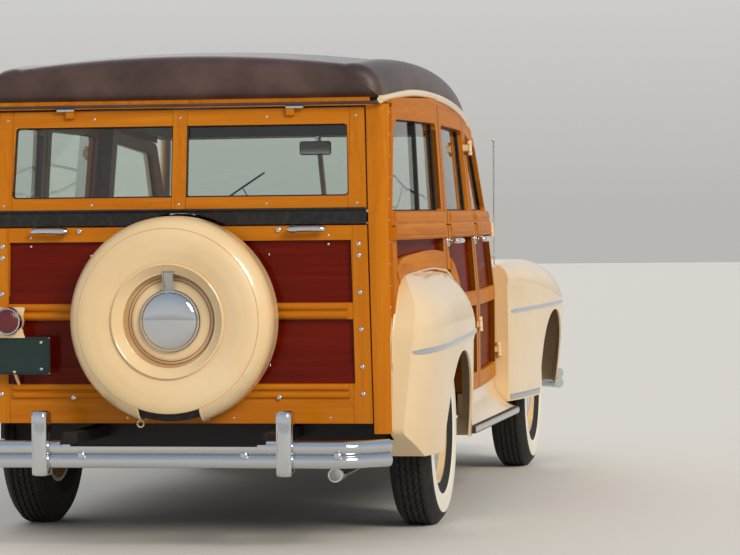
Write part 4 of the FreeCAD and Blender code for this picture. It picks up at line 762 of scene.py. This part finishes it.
def lamp_and_plate():
    """The tail lamp's lens, bezel and bracket, and the blank plate."""
    centre = (LAMP_OUT, GATE_FACE, LAMP_UP)
    face = []
    for k in range(13):
        flute = 0.9 if k % 2 else 0
        face.append((43 * k / 12, -(96 + 12 * (1 - (k / 12) ** 2)) - flute))
    face += [(43.5, -84), (0, -82)]
    add_piece("tail_lens", turned(face, centre, "along", 48), RED_LENS, "tailgate")
    bezel = [(42, -97), (45, -99.5), (49, -97.5), (52, -91), (52.5, -76), (49, -74), (44, -80), (42, -90)]
    add_piece("tail_bezel", turned(bezel, centre, "along", 64, True), CHROME, "tailgate")
    # The bracket is cut from one sheet and leans back to the plate.
    outline = [(-63, 51, 6), (-50, 6, 40), (-47, -24, 30), (-58, -63, 3), (58, -63, 3), (47, -24, 30),
               (50, 6, 40), (63, 51, 6)]

    def leaning(u, v):
        return at(LAMP_OUT + u, GATE_FACE - 71 + max(0, -20 - v) * 0.28, LAMP_UP + v)

    add_piece("lamp_bracket", plate(outline, leaning, BACK * -0.003), CREAM, "tailgate")
    corners = [(PLATE_LEFT, 628, 14), (PLATE_RIGHT, 628, 14), (PLATE_RIGHT, 766, 14), (PLATE_LEFT, 766, 14)]
    sheet = plate(corners, lambda u, v: at(u, GATE_FACE - 53, v), BACK * 0.0062)
    add_piece("blank_plate", sheet, PLATE_GREEN, "tailgate")
    left, right = PLATE_LEFT + 6, PLATE_RIGHT - 6
    rim = rounded([(left, 634, 12), (right, 634, 12), (right, 760, 12), (left, 760, 12)])
    ring = [at(p.x, GATE_FACE - 59.2, p.y) for p in rim]
    add_piece("plate_rim", wire(ring, 0.0022, 8, True), PLATE_GREEN, "tailgate")
    bolts = [(at(x, GATE_FACE - 59, z), BACK)
             for x in (PLATE_LEFT + 34, PLATE_RIGHT - 34) for z in (746, 648)]
    heads("plate_bolts", bolts, 6, 0.4, "tailgate")
    prop = [at(LAMP_OUT + 16, GATE_FACE - y, z) for y, z in ((60, 640), (30, 612), (-2, 586))]
    add_piece("lamp_prop", wire(prop, 0.0062), CREAM, "tailgate")


def liftgate_trim():
    """Seals, the flap's bead, screws and hinge barrels of the liftgate."""
    for side, word in SIDES:
        corners = [(27, 1274, 4), (634.5, 1274, 14), (625.5, 1537, 14), (27, 1537, 4)]
        loop = [at(side * p.x, lift_face(p.y) + 12, p.y) for p in rounded(corners)]
        seal = wire(along(loop + [loop[0]], 120)[:-1], 0.005, 8, True)
        add_piece("lift_seal_" + word, seal, BLACK_RUBBER, "liftgate")
    lip = [at(x, lift_face(1225) - 6, 1226) for x in (-698, -350, 0, 350, 698)]
    add_piece("flap_bead", wire(lip, 0.0055), BLACK_RUBBER, "liftgate")
    screws = [(at(out * share, lift_face(up), up), BACK) for up, share in ((1248, 1), (1566, 0.985))
              for out in (-666, -330, 0, 330, 666)]
    heads("liftgate_screws", screws, 4.5, 0.3, "liftgate")
    for side in (RIGHT, LEFT):
        for body, start in (("liftgate", 400), ("body", 432.5)):
            ends = [at(side * x, -806, 1600) for x in (start + 0.2, start + 31.6)]
            add_piece("lift_hinge_%s_%d" % (body, side), wire(ends, 0.0074, 14), CHROME, body)


def guard_mesh(out, middle, toward, low, high):
    """A bumper guard: an upright rounded blade over the solid one."""
    levels = [(0, 0.80), (0.02, 0.95), (0.07, 1), (0.30, 1.05), (0.55, 1.06), (0.80, 1), (0.92, 0.97),
              (0.975, 0.88), (1, 0.70)]
    path = [at(out, middle, low + (high - low) * t) for t, _ in levels]

    def section(i):
        share = levels[i][1]
        return BACK * (-toward), [(math.copysign(abs(c) ** 0.55, c) * 0.0285 * share,
                                   math.copysign(abs(s) ** 0.7, s) * 0.041 * share) for c, s in circle(1, 24)]

    return swept(path, section)


def rear_body_trim():
    """Trim of the roof's end, the corner posts, the bumper and the tailpipe."""
    moulding = [at(x, -812, 1612) for x in (-742, -370, 0, 370, 742)]
    add_piece("roof_rear_moulding", wire(moulding, 0.006), ROOF_CLOTH)
    spots = []
    for side in (RIGHT, LEFT):
        for up in range(470, 1577, 79):
            spots.append(on_side("corner_posts", side, -797 + max(0, up - 1166) * 0.118, up))
    heads("post_screws", spots, 5.5, 0.35)
    # A black sheet under the load floor behind the bumper stands partly for the underbody parts there and
    # partly for painted shade: it darkens the space under the gate as the deep shadow beneath the car would,
    # and hides the pale floor.
    add_piece("splash_pan_and_shade", block(-716, 716, -542, -538, 312, 446, 1), CHASSIS)
    heads("rear_bumper_bolts", [(at(out, -1126, 348), BACK) for out in (-640, -300, 300, 640)], 15, 0.55)
    for side, word in SIDES:
        add_piece("guard_" + word, guard_mesh(side * 450, -1115, -1, 274, 508), CHROME)
    tip = [(21.3, -1003), (25.5, -1003), (27, -1000), (27, -930), (24.2, -926), (24.2, -996)]
    add_piece("tailpipe_tip", turned(tip, (606, 0, 270), "along", 40, True), CHROME)


# The sides

FENDER_LINE = smooth([Vector(p) for p in FENDER_SEAM], 8)


def between(start, end, count):
    """Even places (ahead, up) from a start to an end."""
    return [Vector(start).lerp(Vector(end), k / (count - 1)) for k in range(count)]


def strip(name, node_name, side, places, wide, proud, material, body="body", taper=(0, 0), deep=3):
    """A half-round strip laid on a node's side along places."""
    raw = [on_side(node_name, side, place[0], place[1]) for place in places]
    count = len(raw)
    points = [p for p, _ in raw]
    normals = []
    for k in range(count):
        near = [raw[j][1] for j in range(max(0, k - 3), min(count, k + 4))]
        normals.append(sum(near, Vector()).normalized())
    inner = [(a + b * 2 + c) / 4 for a, b, c in zip(points, points[1:], points[2:])]

    def section(i):
        t = i / (count - 1)
        share = 1
        if taper[0] and t < taper[0]:
            share = 0.3 + 0.7 * (t / taper[0]) ** 0.6
        if taper[1] and t > 1 - taper[1]:
            share = 0.3 + 0.7 * ((1 - t) / taper[1]) ** 0.5
        w, h = wide * share / 2000, proud * share / 1000
        half = [(w, -deep / 1000), (w, h * 0.25), (w * 0.6, h * 0.8)]
        return normals[i], [(-u, v) for u, v in half] + [(0, h)] + half[::-1]

    return add_piece(name, swept([points[0]] + inner + [points[-1]], section), material, body)


def fender_trim():
    """Spears on the fenders, bright edges at their feet, and the welts."""
    strips = (("rear_spear_", "rear_fenders", (-812, 698), (462, 741), 64, 22, 7, CHROME, (0.07, 0)),
              ("front_spear_", "front_fenders", (1900, 764), (3210, 774), 64, 21, 7, CHROME, (0.05, 0.10)),
              ("board_edge_", "running_boards", (520, 331), (1826, 331), 30, 24, 3.5, STAINLESS, (0, 0)),
              ("front_fender_foot_", "front_fenders", (1885, 384), (2500, 380), 40, 26, 3, STAINLESS, (0, 0)))
    for side, word in SIDES:
        for kind, node_name, start, end, count, wide, proud, finish, taper in strips:
            strip(kind + word, node_name, side, between(start, end, count), wide, proud, finish, taper=taper)
        path = [at(side * (side_at(p.x, p.y) + 4), p.x, p.y) for p in FENDER_LINE]
        add_piece("fender_welt_" + word, wire(path, 0.0055, 8), CREAM)


def side_mouldings():
    """Rounded rails under the windows and round the fenders, a bead along
    the belt, the roof's drip moulding and the header over the doors."""
    arch = [p for p in moved_out(FENDER_LINE, 36) if -735 < p.x < 62 and p.y > 900]
    door_arch = [p for p in moved_out(FENDER_LINE, 38) if 196 < p.x and p.y > 760]
    for side, word in SIDES:
        spans = (("quarter", "side_frames", "body", -782, 64),
                 ("rear", "door_frame_rear_" + word, "door_rear_" + word, 190, 834),
                 ("front", "door_frame_front_" + word, "door_front_" + word, 963, 1784))
        for place, node_name, body, low, high in spans:
            for kind, up, wide, proud in (("sill", 1191, 36, 5), ("belt", 1148, 40, 6), ("bead", 1118, 9, 5)):
                strip("%s_%s_rail_%s" % (place, kind, word), node_name, side,
                      between((low + 1, up), (high - 1, up), 24), wide, proud, MAPLE_RAIL, body)
        strip("quarter_arch_" + word, "side_frames", side, arch, 68, 5, MAPLE_RAIL, deep=15)
        strip("door_arch_" + word, "door_frame_rear_" + word, side, door_arch, 60, 5, MAPLE_RAIL,
              "door_rear_" + word, deep=15)
        edge = [at(side * (out + 6), ahead, up + 6) for ahead, out, up in ROOF_EDGE[:-1]]
        edge = smooth(edge + [at(side * 686, 1706, 1556)], 10)
        section = [(-0.014, -0.006), (-0.014, 0.003), (-0.010, 0.009), (0, 0.0125), (0.010, 0.009),
                   (0.014, 0.003), (0.014, -0.006)]
        add_piece("drip_moulding_" + word, swept(edge, (Vector((-side, 0, 0)), section)), CREAM)
        for place, low, high, foot in (("rear", 127, 899, 30), ("front", 899, 1600, 38)):
            first = max(low, 132)
            start = edge_height(first) - 30
            rings = []
            for k in range(21):
                ahead = low + (high - low) * k / 20
                under = start + (edge_height(high) - foot - start) * (ahead - first) / (high - first) + 4.5
                over = edge_height(ahead) - 0.5
                reach = side_at(ahead, under)
                rings.append([at(side * reach, ahead, under), at(side * (reach - 1.5), ahead, over),
                              at(side * (reach - 40), ahead, over), at(side * (reach - 40), ahead, under)])
            add_piece("%s_header_%s" % (place, word), shell(rings), MAPLE_RAIL)


HANDLE_UP = 1097
HINGE_FOOT = 640
HINGE_LEAN = 45
HINGE_SPAN = 860


def hinge_at(ahead, up):
    """How far out a door's leaning hinge line is."""
    return side_at(ahead, HINGE_FOOT) + 22 - HINGE_LEAN * (up - HINGE_FOOT) / HINGE_SPAN


def door_trim():
    """Each door's handle and the leaves and barrels of its two hinges."""
    for side, word in SIDES:
        inward = Vector((-side, 0, 0))
        axis = (at(-side * HINGE_LEAN, 0, HINGE_SPAN) - at(0, 0, 0)).normalized()
        for place, handle, hinge, heights in (("rear", 162, 893, (745, 1475)),
                                              ("front", 935, 1843, (600, 1130))):
            door = "door_%s_%s" % (place, word)
            face = side_at(handle, HANDLE_UP) + 8
            dish = [(0, 12), (12, 11), (20, 8), (24, 3), (24.5, -2), (0, -2)]
            base = turned([(r, a * side) for r, a in dish], (side * face, handle, HANDLE_UP), "across", 40)
            add_piece(door + "_escutcheon", base, CHROME, door)
            stem = [at(side * (face + x), handle, HANDLE_UP) for x in (0, 15, 30)]
            add_piece(door + "_stem", wire(stem, 0.012, 20), CHROME, door)
            path = [at(side * (face + 34), handle + y, HANDLE_UP)
                    for y in (-20, -16, -8, 20, 60, 100, 116, 124, 127)]
            girth = (0.35, 0.75, 1, 1.04, 1, 0.98, 0.97, 0.8, 0.4)
            grip = [(0, -11), (11, -10.5), (17, -7), (19.5, 0), (17, 7), (11, 10.5), (0, 11), (-14, 10.5),
                    (-17.5, 8), (-18.5, 0), (-17.5, -8), (-14, -10.5)]
            rings = [[(v * share / 1000, u * share / 1000) for u, v in grip] for share in girth]
            add_piece(door + "_lever", swept(path, lambda i: (inward, rings[i])), CHROME, door)
            for up in heights:
                out = hinge_at(hinge, up)
                x0, x1 = sorted((side * (side_at(hinge, up) - 2), side * (out + 4.8)))
                leaf = block(x0, x1, hinge - 45, hinge + 0.8, up - 14.9, up + 14.9, 3)
                add_piece("%s_hinge_%d" % (door, up), leaf, CREAM, door)
                for body, low, high in ((door, -16.2, 16.2), ("body", 16.7, 30.2), ("body", -30.2, -16.7)):
                    ends = [at(side * out, hinge, up) + axis * (end / 1000) for end in (low, high)]
                    barrel = swept(ends, (BACK, circle(0.0099, 18)))
                    add_piece("%s_barrel_%d_%d" % (door, up, low), barrel, CREAM, body)


WINDOWS = {
    "rear": [(190, 1216, 12), (840, 1216, 12), (840, 1545, 30), (190, 1553, 30)],
    "front": [(963, 1216, 12), (1745, 1216, 12), (1558, 1483, 50), (963, 1537, 30)],
    "quarter": [(-772, 1216, 12), (65, 1216, 12), (65, 1555, 30), (-713, 1553, 70)],
}


def window_seals():
    """Rubber round the side windows and the sliding panes' upright bar."""
    bar_section = [(-0.011, -0.008), (0.011, -0.008), (0.011, 0.006), (0.008, 0.008), (-0.008, 0.008),
                   (-0.011, 0.006)]
    for side, word in SIDES:
        for place, corners in WINDOWS.items():
            body = "body" if place == "quarter" else "door_%s_%s" % (place, word)
            loop = [at(side * (side_at(p.x, p.y) - 14), p.x, p.y) for p in rounded(corners)]
            seal = wire(along(loop + [loop[0]], 140)[:-1], 0.0052, 8, True)
            add_piece("%s_window_seal_%s" % (place, word), seal, BLACK_RUBBER, body)
        bar = [at(side * (side_at(-300, z) - 11), -300, z) for z in (1219, 1380, 1552)]
        add_piece("slider_bar_" + word, swept(bar, (Vector((-side, 0, 0)), bar_section)), CHASSIS)


def board_ribs():
    """Five ribs along each running board."""
    section = [(-0.0045, -0.002), (-0.0040, 0.0026), (0.0040, 0.0026), (0.0045, -0.002)]
    for side, word in SIDES:
        ribs = []
        for out in (874, 857, 840, 823, 806):
            front = 1828 - max(0, out - 834) * 0.25
            ribs.append(swept([at(side * out, y, 345) for y in (526, 900, 1400, front)], (UP, section)))
        add_piece("board_ribs_" + word, joined(ribs), BOARD_RUBBER)


def aerial():
    """The aerial's rubber base and clamp."""
    base = [(0, 932), (6, 932), (10, 926), (13, 905), (14.5, 880), (21, 862), (0, 858)]
    add_piece("aerial_base", turned(base, (764, 2000, 0), "up", 32), BLACK_RUBBER)
    clamp = [(3.9, 1000), (8, 1000), (9, 1003), (9, 1011), (3.9, 1013)]
    add_piece("aerial_clamp", turned(clamp, (765, 1997, 0), "up", 24, True), CHROME)


# The front

def front_trim():
    """Lamps, grille lines, nose panel, hood strip, guards and wipers."""
    glass = [(9.1 * k, 3556 + 9 * (1 - (k / 10) ** 2)) for k in range(11)] + [(91, 3536), (0, 3534)]
    rim = [(89, 3556), (93, 3562), (99, 3560), (104, 3551), (106, 3538), (100.5, 3534), (92, 3546)]
    small_glass = [(0, 3566), (14, 3564.5), (25, 3559), (30, 3550), (30, 3540), (0, 3540)]
    small_rim = [(30, 3553), (33, 3556), (37, 3550), (38, 3538), (33, 3510), (20, 3500), (16, 3506),
                 (29, 3522)]
    for side, word in SIDES:
        lamp, small = (side * 600, 0, 760), (side * 420, 0, 690)
        add_piece("headlamp_lens_" + word, turned(glass, lamp, "along"), CLEAR_LENS)
        add_piece("headlamp_rim_" + word, turned(rim, lamp, "along", 80, True), CHROME)
        add_piece("parking_lens_" + word, turned(small_glass, small, "along", 48), AMBER_LENS)
        add_piece("parking_rim_" + word, turned(small_rim, small, "along", 48, True), CHROME)
    lines = [block(-half, half, 3543, 3545.4, up + drop - 2, up + drop + 2, 0.5)
             for up, half in ((470, 505), (560, 485), (650, 455)) for drop in (19, 37)]
    add_piece("grille_lines", joined(lines), STRIPE_RED)
    # A crowned cream panel closes the nose between the fenders.
    across = [at(31.2 * k, 3500 + 12 * (1 - (k / 10) ** 2), 780) for k in range(-10, 11)]
    panel = [(-0.002, -0.078), (-0.009, -0.050), (-0.012, 0), (-0.009, 0.050), (-0.002, 0.076),
             (0.003, 0.076), (0.003, -0.078)]
    add_piece("nose_panel", swept(across, (UP, panel)), CREAM)
    ridge = [surface("hood").ray_cast(at(0, ahead, 1400), -UP)[0] for ahead in range(2075, 3486, 47)]
    bead = [(-0.009, -0.002), (-0.008, 0.004), (-0.003, 0.0085), (0.003, 0.0085), (0.008, 0.004),
            (0.009, -0.002)]
    add_piece("hood_strip", swept([hit for hit in ridge if hit], (UP, bead)), CHROME, "hood_lid")
    for side, word in SIDES:
        add_piece("front_guard_" + word, guard_mesh(side * 380, 3741, 1, 303, 523), CHROME)
    heads("front_bumper_bolts", [(at(out, 3752, 380), -BACK) for out in (-620, -280, 280, 620)], 15, 0.55)
    for side, word in SIDES:
        arm = [at(side * 300, 1985, 1192), at(side * 330, 1955, 1250), at(side * 370, 1915, 1330)]
        add_piece("wiper_arm_" + word, wire(arm, 0.0035, 8), STAINLESS)
        blade = [at(side * 470, 1888, 1262), at(side * 370, 1917, 1332), at(side * 275, 1948, 1398)]
        add_piece("wiper_blade_" + word, wire(blade, 0.0045, 8), BLACK_RUBBER)


def inside_trim():
    """The mirror with its stem, and the dials on the dash."""
    add_piece("rear_view_mirror", block(-72, 72, 1748, 1758, 1470, 1532, 5), CHASSIS)
    add_piece("mirror_glass", block(-66, 66, 1746.5, 1749, 1476, 1526, 1), CHROME)
    stem = [at(0, 1757, 1505), at(0, 1780, 1530), at(0, 1806, 1562)]
    add_piece("mirror_stem", wire(stem, 0.007, 12), CHROME)
    for out, radius in ((-360, 62), (-225, 40), (-500, 40), (330, 55)):
        face = [(0, 1834), (radius - 6, 1834), (radius, 1836), (radius, 1842), (0, 1842)]
        add_piece("dial_%d" % out, turned(face, (out, 0, 1090), "along", 40), GAUGE)
        rim = [(radius - 4, 1831), (radius + 4, 1831), (radius + 7, 1841), (radius - 4, 1836)]
        add_piece("dial_rim_%d" % out, turned(rim, (out, 0, 1090), "along", 48, True), CHROME)


# Seats

# Each bench: back edge of its cushion, floor height, half width, back's top.
BENCHES = {"front": (1180, 458, 620, 1250), "rear": (330, 655, 600, 1240)}
PAD_VOXEL = 0.012
PAD_FRAMES = 20
PAD_SWELL = 0.024
CHANNEL_PITCH = 100
CHANNEL_WIDTH = 7
CHANNEL_DEPTH = 0.010


def pad_shape(section, half, radius):
    """A long bolster from a side outline (ahead, up), ends rounded in."""
    flat = rounded([(*p, radius) for p in section])
    middle = sum(flat, Vector((0, 0))) / len(flat)
    ends = [(-half, 0.86), (-half + 14, 0.96), (-half + 40, 1)]
    steps = 26
    inner = [(-half + 40 + (2 * half - 80) * k / steps, 1) for k in range(1, steps)]
    rings = []
    for out, share in ends + inner + [(-x, s) for x, s in reversed(ends)]:
        ring = [middle + (p - middle) * share for p in flat]
        rings.append([at(out, q.x, q.y) for q in ring])
    return shell(rings, False, 60)


def swell(mesh):
    """Pump a pad up with cloth, held to a cap of movement in metres."""
    holder = bpy.data.objects.new("pad", mesh)
    bpy.context.scene.collection.objects.link(holder)
    remesh = holder.modifiers.new("even", "REMESH")
    remesh.mode = "VOXEL"
    remesh.voxel_size = PAD_VOXEL
    graph = bpy.context.evaluated_depsgraph_get()
    even = bpy.data.meshes.new_from_object(holder.evaluated_get(graph))
    holder.modifiers.clear()
    holder.data = even
    start = [v.co.copy() for v in even.vertices]
    cloth = holder.modifiers.new("cloth", "CLOTH")
    cloth.settings.use_pressure = True
    cloth.settings.uniform_pressure_force = 4
    cloth.settings.effector_weights.gravity = 0
    cloth.settings.quality = 3
    cloth.point_cache.frame_start = 1
    cloth.point_cache.frame_end = PAD_FRAMES
    scene = bpy.context.scene
    for step in range(PAD_FRAMES):
        scene.frame_set(step + 1)
    graph = bpy.context.evaluated_depsgraph_get()
    full = bpy.data.meshes.new_from_object(holder.evaluated_get(graph))
    scene.frame_set(1)
    bpy.data.objects.remove(holder)
    for vertex, origin in zip(full.vertices, start):
        move = vertex.co - origin
        if move.length > PAD_SWELL:
            vertex.co = origin + move * (PAD_SWELL / move.length)
    return full


def channelled(mesh, half):
    """Press sewn channels across a pad, each vertex along its own normal."""
    normals = [v.normal.copy() for v in mesh.vertices]
    for vertex, normal in zip(mesh.vertices, normals):
        phase = (-vertex.co.x * 1000 + half) / CHANNEL_PITCH
        near = abs(phase - round(phase)) * CHANNEL_PITCH
        if round(phase) in (0, round(2 * half / CHANNEL_PITCH)):
            continue
        vertex.co -= normal * (CHANNEL_DEPTH * math.exp(-(near / CHANNEL_WIDTH) ** 2))
    mesh.update()
    mesh.shade_smooth()


def seats():
    """Two benches, each a cushion, a back and the box under the cushion."""
    for word, (back, foot, half, top) in BENCHES.items():
        cushion = [(back + u, foot + v) for u, v in ((24, 150), (452, 176), (458, 306), (40, 270))]
        rest = [(back + 4, foot + 236), (back + 76, foot + 262), (back - 28, top - 12), (back - 98, top - 12)]
        for part, section, radius in (("cushion", cushion, 44), ("back", rest, 32)):
            mesh = pad_shape(section, half - 14, radius)
            mesh = swell(mesh)
            channelled(mesh, half - 14)
            pad = add_piece("%s_seat_%s" % (word, part), mesh, SEAT_HIDE)
            if part == "cushion":
                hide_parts("seats")
        low = block(-half + 12, half - 12, back + 12, back + 430, foot + 1, foot + 168, 8)
        add_piece("%s_seat_box" % word, low, FLOOR_PAINT)


# Camera, light and floor

CAMERA_PLACE = (2800.5, -12344.6, 1210.7)
CAMERA_YAW = 0.1796
CAMERA_PITCH = -0.0201
CAMERA_ROLL = -0.0103
CAMERA_LENS = 156.8


def photo_camera():
    """The camera that took the photograph, as fitted to it."""
    yaw, pitch, roll = CAMERA_YAW, CAMERA_PITCH, CAMERA_ROLL
    ahead = Vector((math.sin(yaw) * math.cos(pitch), -math.cos(yaw) * math.cos(pitch), math.sin(pitch)))
    right = Vector((-math.cos(yaw), -math.sin(yaw), 0))
    up = right.cross(ahead)
    tilted_right = right * math.cos(roll) + up * math.sin(roll)
    tilted_up = up * math.cos(roll) - right * math.sin(roll)
    data = bpy.data.cameras.new("camera")
    data.lens = CAMERA_LENS
    data.sensor_width = 36
    data.clip_end = 100
    camera = bpy.data.objects.new("camera", data)
    bpy.context.scene.collection.objects.link(camera)
    turn = Matrix((tilted_right, tilted_up, -ahead)).transposed()
    camera.matrix_world = Matrix.Translation(at(*CAMERA_PLACE)) @ turn.to_4x4()
    bpy.context.scene.camera = camera


def lamp(name, place, power, spread, tint="FFFFFF"):
    """A distant soft light that shines from a place to the car's middle."""
    data = bpy.data.lights.new(name, "SUN")
    data.angle = math.radians(spread)
    data.energy = power
    data.color = colour(tint)[:3]
    made = bpy.data.objects.new(name, data)
    bpy.context.scene.collection.objects.link(made)
    made.location = place
    made.rotation_mode = "QUATERNION"
    made.rotation_quaternion = (Vector((0, 0, 0.8)) - Vector(place)).to_track_quat("-Z", "Y")


def studio():
    """A pale backdrop for what the camera sees, and a dimmer light for the rest."""
    scene = bpy.context.scene
    scene.view_settings.view_transform = "Standard"
    world = bpy.data.worlds.new("studio")
    scene.world = world
    world.use_nodes = True
    tree = world.node_tree
    tree.nodes.clear()
    place = node(tree, "TexCoord").outputs["Generated"]
    height = node(tree, "SeparateXYZ", {"Vector": place}).outputs["Z"]
    sky = node(tree, "ValToRGB", {"Fac": height}, [(0, "B9B7B3"), (0.10, "D6D6D5"), (0.75, "A4B4C6")])
    seen = node(tree, "Background", {"Color": sky, "Strength": 1})
    lit = node(tree, "Background", {"Color": colour("F4F6F8"), "Strength": 0.62})
    rays = node(tree, "LightPath").outputs
    direct = 0
    for ray in ("Is Camera Ray", "Is Glossy Ray", "Is Transmission Ray"):
        direct = node(tree, "Math", {0: direct, 1: rays[ray]}, operation="ADD", use_clamp=True)
    mixed = node(tree, "MixShader", {0: direct, 1: lit, 2: seen})
    node(tree, "OutputWorld", {"Surface": mixed})
    lamp("key", (-9, 9, 8.3), 2.1, 24, "FFF3E2")
    lamp("front", (5, -10, 6.8), 0.6, 40)


def floor():
    """The plain pale floor."""
    mesh = bpy.data.meshes.new("studio_floor")
    far = 60
    mesh.from_pydata([(-far, -far, 0), (far, -far, 0), (far, far, 0), (-far, far, 0)], [], [(0, 1, 2, 3)])
    made = bpy.data.objects.new("studio_floor", mesh)
    bpy.context.scene.collection.objects.link(made)
    material, tree, _ = open_material("studio_floor")
    close_material(tree, {"Base Color": colour("D6D4CF"), "Roughness": 0.9})
    mesh.materials.append(material)


for build in (dress_nodes, gate_hardware, spare_details, lamp_and_plate, liftgate_trim, rear_body_trim,
              fender_trim, side_mouldings, door_trim, window_seals, board_ribs, aerial, road_wheels,
              spare_wheel, front_trim, inside_trim, seats, photo_camera, studio, floor):
    build()
